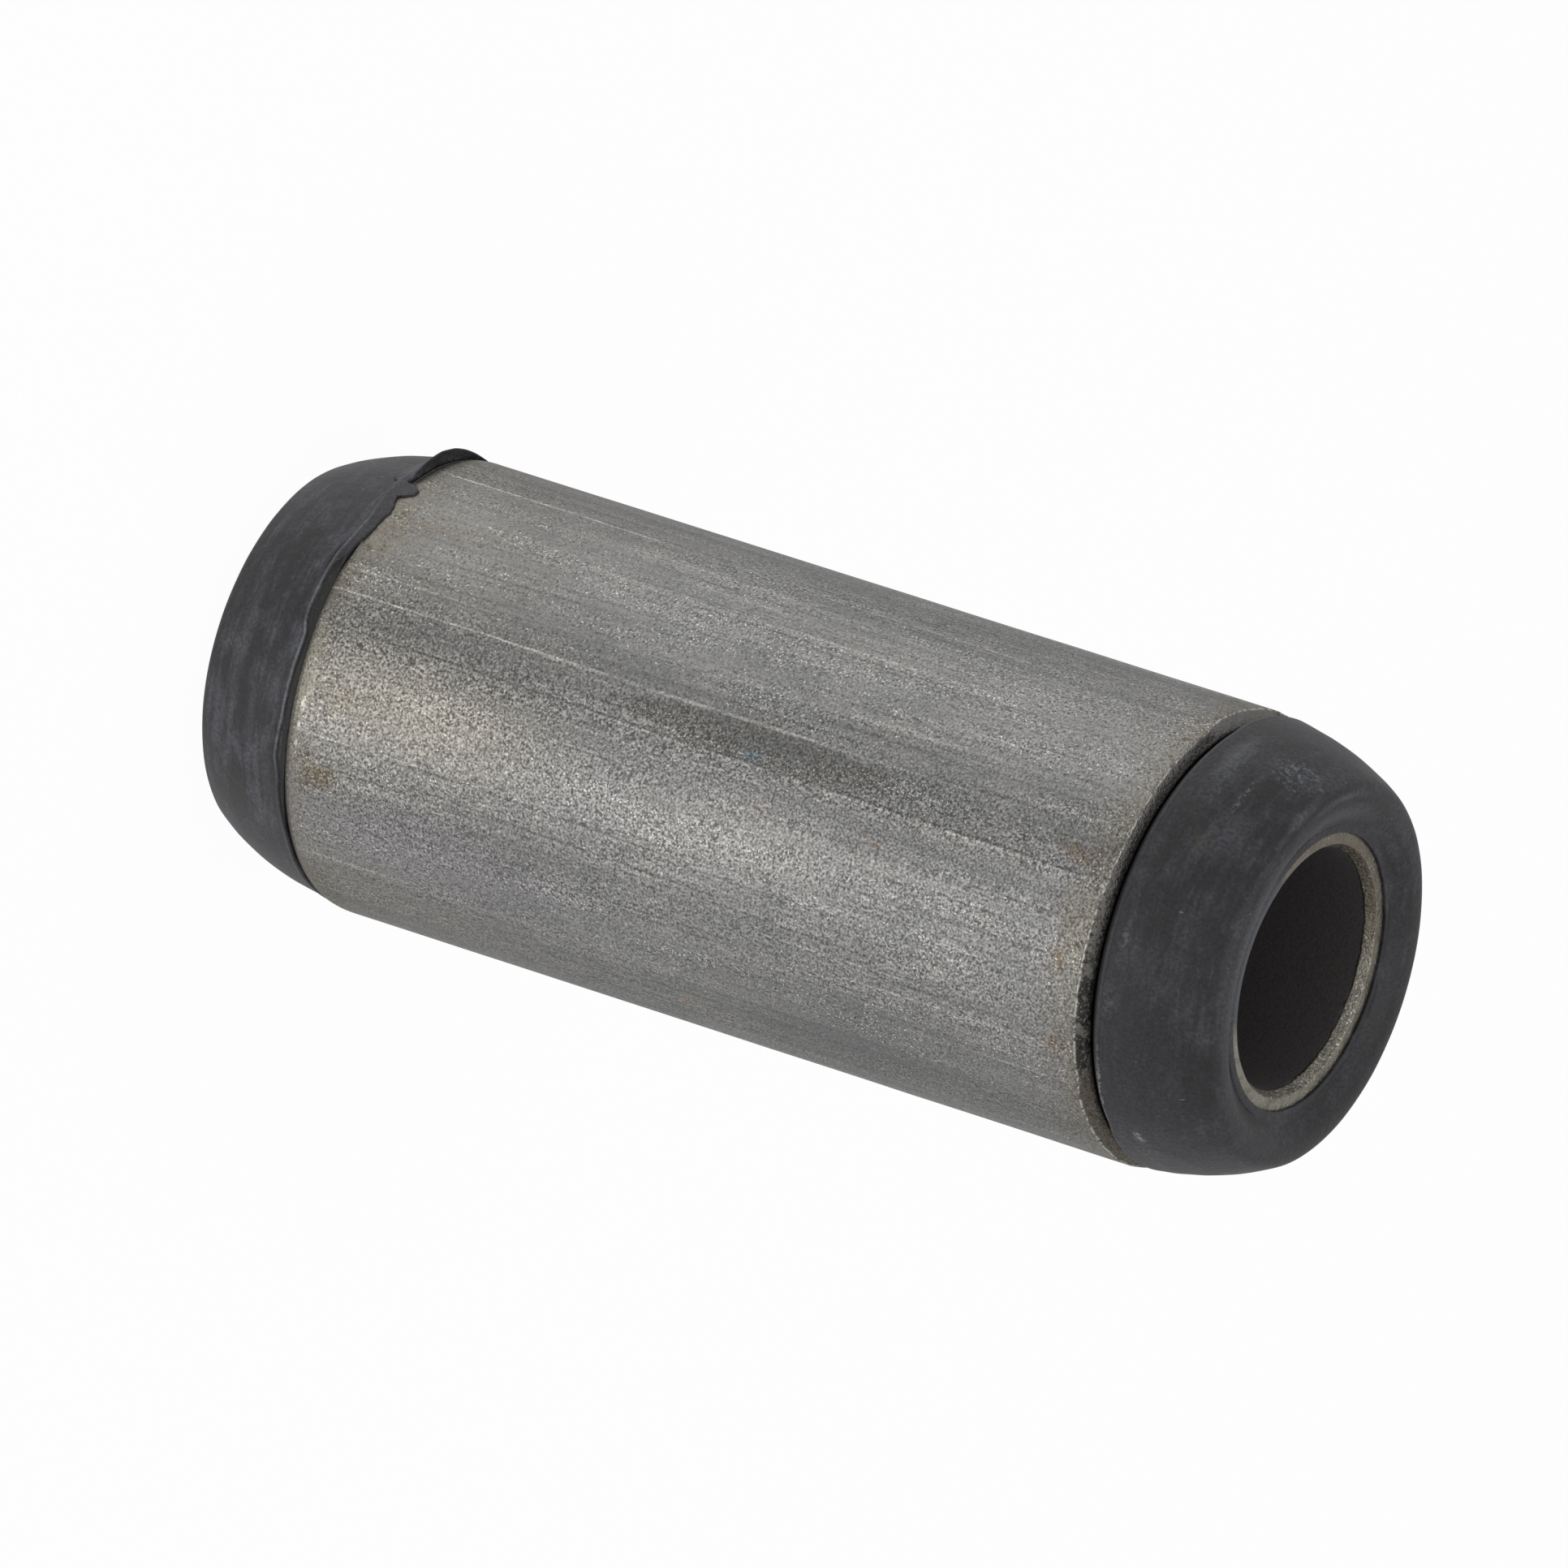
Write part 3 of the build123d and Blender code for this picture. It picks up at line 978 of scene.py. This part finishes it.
@dataclass(frozen=True)
class BoredSteel:
    """Dull steel of the inner sleeve: a turned end face, a rough bevel and a dark bore."""

    face: tuple = (0.23, 0.218, 0.185)
    bevel: tuple = (0.13, 0.112, 0.085)
    # Colour of the painted highlight on the far side of the bevel.
    painted_bevel_highlight: tuple = (0.24, 0.23, 0.2)
    film: tuple = (0.082, 0.083, 0.094)
    bore: tuple = (0.055, 0.05, 0.055)
    # Colour of the painted glints, also used for pale specks in the bore.
    painted_glint_and_light_mark: tuple = (0.62, 0.6, 0.54)
    roughness: float = 0.5
    relief: float = 0.00015
    reach: float = 70.5
    mouth: float = 15.75

    def material(self) -> bpy.types.Material:
        """Build the material.

        Returns:
            The material.
        """
        material, sketch, shader = new_material("bored_steel")
        place, angle, height, radius = sketch.group(place_group()).values()
        cluster = sketch.stretched(place, (0.3, 0.3, 0.3))
        grain = sketch.group(grain_group(), Place=place, Cluster=cluster, Size=0.35)
        patches = sketch.noise(place, 0.55, 4.0, 0.65)
        ragged = patches * 0.5 - 0.25
        face = sketch.mix(patches.ramp(0.42, 0.68, 0.0, 0.7), self.face, self.bevel)
        face = sketch.mix(abs(angle).ramp(60.0, 150.0, 0.0, 0.6), face, self.bevel)
        # Painted highlight and painted glints on the far side of the bevel, around 35 degrees.
        off = abs(angle - 35.0)
        bevel = sketch.mix(off.ramp(105.0, 60.0, 0.0, 0.6), self.bevel, self.painted_bevel_highlight)
        bevel = sketch.mix(sketch.noise(place, 1.3, 4.0, 0.7).ramp(0.44, 0.38, 0.0, 0.45), bevel, self.bore)
        crumbs = sketch.noise(place, 2.4, 3.0, 0.7).ramp(0.56, 0.66)
        bevel = sketch.mix(crumbs * off.ramp(68.0, 30.0, 0.06, 0.75), bevel, self.painted_glint_and_light_mark)
        colour = sketch.mix((radius + ragged).ramp(self.mouth + 0.1, self.mouth - 0.05), face, bevel)
        # Painted glints over the face and the bevel.
        colour = sketch.mix(grain["Glint"] * 0.6, colour, self.painted_glint_and_light_mark)
        colour = sketch.mix(grain["Pit"] * 0.5, colour, self.bore)
        turn = patches * 24.0 + (angle - 12.0)
        coated = abs(turn + 92.0).ramp(42.0, 32.0) * height.ramp(0.0, 1.0)
        colour = sketch.mix(coated, colour, self.film)

        deep = (abs(height) + ragged).ramp(self.reach - 1.15, self.reach - 1.45)
        specks = sketch.group(speck_group(), Place=place, Spacing=2.4, Size=0.12, Share=0.4)["Speck"]
        grained = sketch.mix(grain["Relief"].ramp(0.35, 0.65), self.bore, self.bevel)
        inside = sketch.mix(specks * 0.3, sketch.mix(0.3, self.bore, grained), self.painted_glint_and_light_mark)
        sketch.feed(shader.inputs["Base Color"], sketch.mix(deep, colour, inside))
        dull = deep.or_larger(coated)
        sketch.feed(shader.inputs["Metallic"], 1.0 - dull * 0.9)
        sketch.feed(shader.inputs["Roughness"], dull * 0.2 + self.roughness)
        sketch.bump(shader, (patches * 1.5 + grain["Relief"]) * (1.0 - deep * 0.75), self.relief)
        return material


# --------------------------------------------------------------------------------------------------
# The bush
# --------------------------------------------------------------------------------------------------


@dataclass
class RubberMoulding:
    """The rubber between the sleeves, with its bulging ends and the moulding flash on the lower one."""

    tube_radius: float = 17.5
    rim_radius: float = 17.25
    sleeve_bore_radius: float = 26.0
    bulge_radius: float = 28.3
    tube_reach: float = 70.5
    tube_break: float = 0.25
    rim_height: float = 0.42
    sleeve_reach: float = 57.0
    crest_reach: dict[End, float] = field(default_factory=lambda: {End.UPPER: 72.6, End.LOWER: 72.1})
    shoulder_inset: dict[End, float] = field(default_factory=lambda: {End.UPPER: 4.7, End.LOWER: 5.2})
    shoulder_cut: dict[End, float] = field(default_factory=lambda: {End.UPPER: 1.5, End.LOWER: 1.1})
    side_radius: dict[End, float] = field(default_factory=lambda: {End.UPPER: 42.0, End.LOWER: 38.0})
    lip_root: float = 26.25
    bead_highlight_width: float = 0.2
    finish: MouldedRubber = MouldedRubber()

    def angles(self) -> Array:
        """Give the angle of each column, in radians, closer together round the flash."""
        spans = ((-175, -98, 190), (-98, 185, 228))
        return np.radians(np.concatenate([np.linspace(*span, endpoint=False) for span in spans]))

    def lip(self, end: End, angle: Array) -> Array:
        """Work out how far each column's lip stands from the middle plane.

        Args:
            end: Which end of the bush.
            angle: Angle of each column, in radians.

        Returns:
            The reach of the lip's edge at each angle.
        """
        if end is End.UPPER:
            around = 58.45 + ripple(angle, 11, (2, 40), 0.1)
            knots = [(-150, 58.65), (-130, 58.45), (-115, 58.35), (-80, 58.35)]
            knots += [(-60, 58.4), (-38, 58.5), (-30, 58.7)]
            return read_line(wrapped(angle), knots, around)
        around = 57.2 + ripple(angle, 12, (2, 30), 0.1)
        knots = [(-116, 57.95), (-100, 58.05), (-97, 57.85), (-94, 57.3), (-91, 57.28), (-87, 57.42)]
        knots += [(-80, 57.5), (-72, 57.55), (-66, 57.8), (-62, 57.9), (-60, 57.7), (-57, 57.45)]
        knots += [(-50, 57.5), (-45, 57.3)]
        return read_line(wrapped(angle), knots, around)

    def pinch(self, end: End, angle: Array) -> Array:
        """Work out how far the side is drawn in near the lip: behind the flap and on the opposite side.

        Args:
            end: Which end of the bush.
            angle: Angle of each column, in radians.

        Returns:
            The distance at each angle.
        """
        if end is End.UPPER:
            return 0.15 * window(angle, -30, 30, 40)
        return 0.08 + 0.4 * window(angle, -200, -152, 12) + 0.35 * window(angle, -22, 40, 30)

    def face(self, end: End, angle: Array) -> Array:
        """Work out the section from the inner sleeve out to the lip.

        Args:
            end: Which end of the bush.
            angle: Angle of each column, in radians.

        Returns:
            An array of point, radius or reach, and column.
        """
        crest = self.crest_reach[end] + ripple(angle, 21 * end.value + 50, (1, 6), 0.02) - 0.02
        lip = self.lip(end, angle)
        lip_radius = self.bulge_radius - 0.05 - self.pinch(end, angle)
        shoulder = self.bulge_radius - self.shoulder_inset[end]
        # The side is an arc: its control point is where the tangents at the lip and the shoulder meet.
        run, rise = lip_radius - shoulder, crest - lip
        chord = np.hypot(run, rise)
        bow = chord / 2 * np.tan(np.arcsin(chord / 2 / self.side_radius[end]))
        control = ((lip_radius + shoulder) / 2 + bow * rise / chord, (lip + crest) / 2 + bow * run / chord)
        crease = 0.05 + 0.2 * window(angle, -48, -8, 10) + 0.05 * window(angle, -180, -60, 30)
        rim = self.tube_reach + self.rim_height
        corners = section(
            angle.size,
            (self.tube_radius, HIDDEN),
            (self.tube_radius, self.tube_reach - self.tube_break),
            (self.rim_radius, self.tube_reach),
            (self.rim_radius, rim),
            (self.rim_radius + 0.95, rim),
            (self.rim_radius + 1.25, rim - crease),
            (shoulder - 2.9, crest - 0.12),
            (shoulder, crest),
            control,
            (lip_radius, lip + 0.5),
        )
        half = float(np.hypot(control[0] - lip_radius, control[1] - lip).mean())
        cut = self.shoulder_cut[end]
        cuts = [(0, 0), (0.1, 0.1), (0.02, 0.02), (0.12, 0.12), (0.3, 0.12), (0.12, 0.3), (1.2, 1.0)]
        cuts += [(cut, cut), (half - cut - 0.35, half - 0.62), (0, 0)]
        steps = [(0, 1), (2, 2), (1, 2), (1, 5), (3, 5), (1, 5), (4, 6), (1, 10), (1, 24), (1, 1)]
        return rounded(corners, cuts, steps)

    def lower_lip(self, angle: Array) -> tuple[Array, Array]:
        """Work out the section of the lower lip and its flash, from the side in to the outer sleeve's bore.

        Three shapes are worked out for every column and mixed by a weight: the bare lip, which is a bead
        with a ledge below it, the skin that lies over the sleeve's edge, and the flap that stands off it.

        Args:
            angle: Angle of each column, in radians.

        Returns:
            An array of point, radius or reach, and column, and the radius and reach of the bead in each
            column.
        """
        columns = angle.size
        turned = wrapped(angle)
        lip, bulge, end = self.lip(End.LOWER, angle), self.bulge_radius, self.sleeve_reach
        edge = bulge - self.pinch(End.LOWER, angle)
        ledge_line = [(-116, 56.4), (-80, 56.42), (-60, 56.5), (-48, 56.75)]
        ledge = read_line(turned, ledge_line, np.full(columns, 56.85)) + ripple(angle, 33, (40, 150), 0.06)
        bare = section(
            columns,
            (edge - 0.03, lip + 0.4),
            (edge + 0.14, lip + 0.08),
            (edge + 0.1, lip - 0.14),
            (edge - 0.14, lip - 0.3),
            (edge - 0.16, ledge + 0.08),
            (bulge - 0.9, ledge),
        )
        skin_edge = [(-143.8, 55.9), (-143.2, 55.0), (-141.4, 53.95), (-139.4, 54.0), (-138, 55.0)]
        skin_edge += [(-137.2, 55.75), (-135.5, 55.5), (-133.4, 55.05), (-131.2, 54.8), (-129.5, 55.1)]
        skin_edge += [(-126, 55.25), (-123, 55.5), (-120, 55.95), (-116, 56.4), (-110, 57.0)]
        crease_line = ((-150, -134, -128, -122, -115), (58.1, 57.3, 57.05, 57.35, 57.95))
        crease = np.interp(np.degrees(turned), *crease_line)
        film = read_line(turned, skin_edge, np.full(columns, 56.9)) + ripple(angle, 31, (60, 160), 0.08)
        skin = section(
            columns,
            (edge - 0.02, crease + 0.25),
            (bulge + 0.42, crease - 0.2),
            (bulge + 0.43, film + 0.12),
            (bulge + 0.16, film),
            (bulge - 0.02, np.maximum(film, end - 0.9)),
            (bulge - 1.1, end),
        )
        flap_edge = [(-180, 28.5), (-177, 28.75), (-173, 29.15), (-168, 29.65), (-163, 30.05)]
        flap_edge += [(-157, 30.25), (-153.7, 30.1), (-150, 29.85), (-146, 29.4), (-143.5, 28.8)]
        brim = read_line(turned, flap_edge, np.full(columns, 28.45)) + ripple(angle, 32, (5, 40), 0.03)
        flap = section(
            columns,
            (edge - 0.03, end + 1.9),
            (edge + 0.25 * (brim - edge), end + 0.7),
            (brim, end - 0.95),
            (brim - 0.12, end - 1.05),
            (bulge - 0.1, end - 0.75),
            (bulge - 1.1, end + 0.02),
        )
        on_skin = window(angle, -143.6, -110, 1.2) * (1 - window(angle, -113, -100, 8))
        on_flap = window(angle, -181.5, -144.2, 1.2)
        shape = bare * (1 - on_skin - on_flap).clip(0) + skin * on_skin + flap * on_flap
        inner = section(columns, (self.sleeve_bore_radius, end), (self.sleeve_bore_radius, HIDDEN))
        corners = np.concatenate((shape, inner))
        cuts = [(0, 0), (0.15, 0.1), (0.06, 0.06), (0.06, 0.06), (0.08, 0.08), (0.05, 0.05), (0.02, 0.02)]
        cuts += [(0, 0)]
        steps = [(0, 1), (3, 5), (9, 4), (1, 4), (9, 4), (2, 2), (1, 2), (2, 1)]
        return rounded(corners, cuts, steps), shape[1]

    def upper_lip(self, angle: Array) -> Array:
        """Work out the section of the upper lip, from the side in to the outer sleeve's bore.

        Args:
            angle: Angle of each column, in radians.

        Returns:
            An array of point, radius or reach, and column.
        """
        lip, end = self.lip(End.UPPER, angle), self.sleeve_reach
        edge = self.bulge_radius - self.pinch(End.UPPER, angle)
        corners = section(
            angle.size,
            (edge - 0.05, lip + 0.5),
            (edge - 0.07, lip),
            (edge - 0.6, lip - 0.45),
            (self.lip_root, end - 0.1),
            (self.sleeve_bore_radius, end - 0.15),
            (self.sleeve_bore_radius, HIDDEN),
        )
        cuts = [(0, 0), (0.25, 0.25), (0.15, 0.15), (0.1, 0.1), (0.02, 0.02), (0, 0)]
        steps = [(0, 1), (2, 6), (4, 4), (2, 3), (1, 2), (2, 1)]
        return rounded(corners, cuts, steps)

    def build(self) -> bpy.types.Object:
        """Build the moulding as one closed surface and put it in place of the plain rubber.

        Returns:
            The new piece.
        """
        angle = self.angles()
        lip, bead = self.lower_lip(angle)
        lower = np.concatenate((self.face(End.LOWER, angle), lip))
        upper = np.concatenate((self.face(End.UPPER, angle), self.upper_lip(angle)))
        radius = np.concatenate((lower[:, 0], upper[::-1, 0]))
        height = np.concatenate((MIDDLE - lower[:, 1], MIDDLE + upper[::-1, 1]))
        relief = unevenness(angle, height, 41, 14, 5.0, 0.025)
        shown = (radius > 18.4) & (np.abs(height - MIDDLE) > 58.5)
        radius = radius - np.where(shown, np.abs(relief), 0)
        height = height.clip(CAD_BOX[0][2] / MM, CAD_BOX[1][2] / MM)
        # Painted highlight along the lower bead's edge, strongest from -128 to -58 degrees, kept as the rim
        # attribute.
        off = np.hypot(radius - bead[0], height - MIDDLE + bead[1])
        bead_highlight_share = 0.15 + 0.85 * window(angle, -128, -58, 14)
        rim = bead_highlight_share * np.exp(-((off / self.bead_highlight_width) ** 2))
        piece = ring_mesh("rubber_moulding", radius, height, angle, rim)
        piece.data.materials.append(self.finish.material())
        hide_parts("rubber_body")
        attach(piece, "root")
        return piece


@dataclass
class OuterSleeve:
    """The drawn steel sleeve, with both outside edges rolled in."""

    radius: float = 28.5
    bore_radius: float = 26.0
    reach: float = 57.0
    columns: int = 480
    finish: DrawnSteel = DrawnSteel()

    def build(self) -> bpy.types.Object:
        """Build the sleeve as one closed surface and put it in place of the plain one.

        Returns:
            The new piece.
        """
        angle = np.radians(np.linspace(-180, 180, self.columns, endpoint=False))
        start = 55.8 + ripple(angle, 51, (3, 60), 0.3)
        knots = [(-145, 56.35), (-130, 56.1), (-108, 56.1), (-98, 55.9), (-88, 55.7), (-80, 55.5)]
        knots += [(-50, 55.5), (-44, 55.7), (-38, 55.4), (-20, 55.8)]
        start = read_line(angle, knots, start) + ripple(angle, 52, (40, 150), 0.08)
        outer, end = self.radius - 0.01, self.reach - 0.02  # just inside the plain sleeve
        corners = section(
            self.columns,
            (self.bore_radius, 0.0),
            (self.bore_radius, -end),
            (27.6, -end),
            (28.22, -56.3),
            (outer, -55.3),
            (outer, start),
            (27.3, 56.75),
            (26.9, end),
            (self.bore_radius, end),
            (self.bore_radius, 0.0),
        )
        cuts = [(size, size) for size in (0, 0.05, 0.12, 0.4, 0.8, 0.1, 0.2, 0.1, 0.02, 0)]
        steps = [(0, 1), (2, 2), (2, 5), (2, 5), (2, 5), (150, 4), (5, 4), (1, 3), (1, 2), (2, 1)]
        line = rounded(corners, cuts, steps)[:-1]
        radius, height = line[:, 0], MIDDLE + line[:, 1]
        outside = radius > 28.0
        radius = radius - np.where(outside, np.abs(unevenness(angle, height, 53, 9, 30.0, 0.012)), 0)
        piece = ring_mesh("drawn_sleeve", radius, height, angle)
        piece.data.materials.append(self.finish.material())
        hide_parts("outer_sleeve")
        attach(piece, "root")
        return piece


@dataclass
class InnerSleeve:
    """The thick inner sleeve, bored for the pin and bevelled at both mouths."""

    radius: float = 17.5
    bore_radius: float = 15.0
    reach: float = 70.5
    bevel: float = 0.75
    bevel_depth: float = 1.3
    edge_break: float = 0.25
    columns: int = 360
    finish: BoredSteel = BoredSteel()

    def build(self) -> bpy.types.Object:
        """Build the inner sleeve as one closed surface and put it in place of the plain one.

        Returns:
            The new piece.
        """
        angle = np.radians(np.linspace(-180, 180, self.columns, endpoint=False))
        ragged = ripple(angle, 61, (3, 60), 0.25)
        mouth = self.bore_radius + self.bevel
        half = [
            (self.bore_radius, 0.0),
            (self.bore_radius, self.reach - self.bevel_depth + ragged),
            (mouth + ripple(angle, 62, (5, 70), 0.04), self.reach),
            (self.radius - self.edge_break, self.reach),
            (self.radius, self.reach - self.edge_break),
            (self.radius, 0.0),
        ]
        cuts = [(size, size) for size in (0, 0.25, 0.1, 0.05, 0.05, 0)]
        steps = [(0, 1), (30, 5), (3, 4), (4, 3), (1, 3), (3, 1)]
        line = rounded(section(angle.size, *half), cuts, steps)
        lower, upper = line[1:], line[::-1][1:]
        radius = np.concatenate((lower[:, 0], upper[:, 0]))
        height = np.concatenate((MIDDLE - lower[:, 1], MIDDLE + upper[:, 1]))
        piece = ring_mesh("bored_sleeve", radius, height, angle)
        piece.data.materials.append(self.finish.material())
        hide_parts("inner_sleeve")
        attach(piece, "root")
        return piece


# --------------------------------------------------------------------------------------------------
# Studio
# --------------------------------------------------------------------------------------------------


@dataclass
class Viewpoint:
    """The camera, placed by how the bush's axis lies in its view."""

    slope: float = 17.783  # the axis runs this far down to the right in the view
    tilt: float = 27.736  # the upper end leans this far towards the camera
    distance: float = 3586.6
    right_shift: float = 2.757
    down_shift: float = 3.232
    lens: float = 686.3

    def axes(self) -> tuple[Vector, Vector, Vector]:
        """Work out how the camera is turned.

        Returns:
            The view's right, its down and the way it looks, as directions in the bush's frame.
        """
        slope, tilt = np.radians(self.slope), np.radians(self.tilt)
        right = Vector((-np.sin(slope), np.sin(tilt) * np.cos(slope), np.cos(tilt) * np.cos(slope)))
        down = Vector((np.cos(slope), np.sin(tilt) * np.sin(slope), np.cos(tilt) * np.sin(slope)))
        away = Vector((0, np.cos(tilt), -np.sin(tilt)))
        return right, down, away

    def build(self) -> bpy.types.Object:
        """Build the camera and make it the scene's.

        Returns:
            The camera.
        """
        right, down, away = self.axes()
        middle = Vector((0, 0, MIDDLE))
        place = (middle - self.right_shift * right - self.down_shift * down - self.distance * away) * MM
        data = bpy.data.cameras.new("viewpoint")
        data.lens = self.lens
        data.sensor_width = 36
        data.clip_end = 50
        camera = bpy.data.objects.new("viewpoint", data)
        turn = Matrix((right, -down, -away)).transposed().to_4x4()
        camera.matrix_world = Matrix.Translation(place) @ turn
        bpy.context.scene.collection.objects.link(camera)
        bpy.context.scene.camera = camera
        return camera


@dataclass
class Softbox:
    """A square lamp with soft edges, placed by where it is as seen from the camera."""

    name: str
    right: float
    up: float
    near: float
    distance: float
    size: float
    power: float

    def build(self, view: Viewpoint) -> bpy.types.Object:
        """Build the lamp, aimed at the middle of the bush.

        Args:
            view: The viewpoint whose right, up and near name the lamp's place.

        Returns:
            The lamp.
        """
        right, down, away = view.axes()
        way = (self.right * right - self.up * down - self.near * away).normalized()
        data = bpy.data.lights.new(self.name, "AREA")
        data.shape = "SQUARE"
        data.size = self.size
        data.energy = self.power
        lamp = bpy.data.objects.new(self.name, data)
        lamp.location = Vector((0, 0, MIDDLE * MM)) + way * self.distance
        lamp.rotation_euler = way.to_track_quat("Z", "Y").to_euler()
        bpy.context.scene.collection.objects.link(lamp)
        return lamp


@dataclass
class Studio:
    """A plain pale floor, soft lamps and a white surround."""

    ambient: float = 0.4
    reflected: float = 0.8
    floor_radius: float = 3.0
    floor_sides: int = 96
    floor_glow: float = 0.97
    lamps: Sequence[Softbox] = (
        Softbox("key_box", -0.850, -0.110, 0.515, 1.0, 0.85, 4.4),
        Softbox("shoulder_box", -0.354, 0.918, 0.175, 1.0, 0.6, 1.9),
        Softbox("top_box", -0.058, 0.934, -0.352, 1.0, 0.6, 1.4),
        Softbox("low_box", -0.662, -0.717, -0.216, 1.0, 0.6, 1.2),
        Softbox("end_box", 0.738, -0.237, 0.632, 1.0, 0.6, 3.0),
    )

    @staticmethod
    def shown(seen: dict[str, Value]) -> Value:
        """Tell from what Light Path puts out whether the camera looks here, straight or through glass."""
        return seen["Is Camera Ray"].or_larger(seen["Is Transmission Ray"])

    def surround(self) -> None:
        """Build the world: white to the camera, pale in reflections and an even grey light otherwise."""
        world = bpy.data.worlds.new("surround")
        sketch = blank_sketch(world)
        seen = sketch.values("LightPath")
        strength = self.shown(seen) * (1.0 - self.ambient) + self.ambient
        strength = strength.or_larger(seen["Is Glossy Ray"] * self.reflected)
        sky = sketch.node("Background", Color=(1.0, 1.0, 1.0, 1.0), Strength=strength)
        sketch.surface("World", sky)
        bpy.context.scene.world = world

    def floor(self) -> bpy.types.Object:
        """Build the floor as a flat disc at the height that the bush stands on.

        Returns:
            The floor.
        """
        turn = np.linspace(0, 2 * np.pi, self.floor_sides, endpoint=False)
        rim = np.stack((np.cos(turn), np.sin(turn), 0 * turn), axis=-1) * self.floor_radius
        mesh = bpy.data.meshes.new("floor")
        mesh.from_pydata(rim.tolist(), [], [list(range(self.floor_sides))])
        floor = bpy.data.objects.new("floor", mesh)
        bpy.context.scene.collection.objects.link(floor)
        floor.visible_shadow = False
        floor.visible_glossy = False
        material = bpy.data.materials.new("pale_floor")
        sketch = blank_sketch(material)
        paint = sketch.node("BsdfDiffuse", Color=(0.9, 0.9, 0.9, 1.0))
        glow = sketch.node("Emission", Strength=1.0)
        mixed = sketch.node("MixShader", Fac=self.shown(sketch.values("LightPath")) * self.floor_glow)
        for socket, part in zip(mixed.inputs[1:], (paint, glow)):
            sketch.tree.links.new(part.outputs[0], socket)
        sketch.surface("Material", mixed)
        mesh.materials.append(material)
        return floor

    def build(self, view: Viewpoint) -> None:
        """Build the world, the floor and the lamps.

        Args:
            view: The viewpoint that the lamps are placed by.
        """
        self.surround()
        self.floor()
        for lamp in self.lamps:
            lamp.build(view)
        bpy.context.scene.view_settings.view_transform = "Standard"


def main() -> None:
    """Build the camera, the studio and the bush, and log each piece's face count."""
    logging.basicConfig(level=logging.INFO, format="%(name)s: %(message)s")
    view = Viewpoint()
    view.build()
    Studio().build(view)
    for part in (OuterSleeve(), RubberMoulding(), InnerSleeve()):
        piece = part.build()
        log.info("%s has %d faces", piece.name, len(piece.data.polygons))


if __name__ == "__main__":
    main()
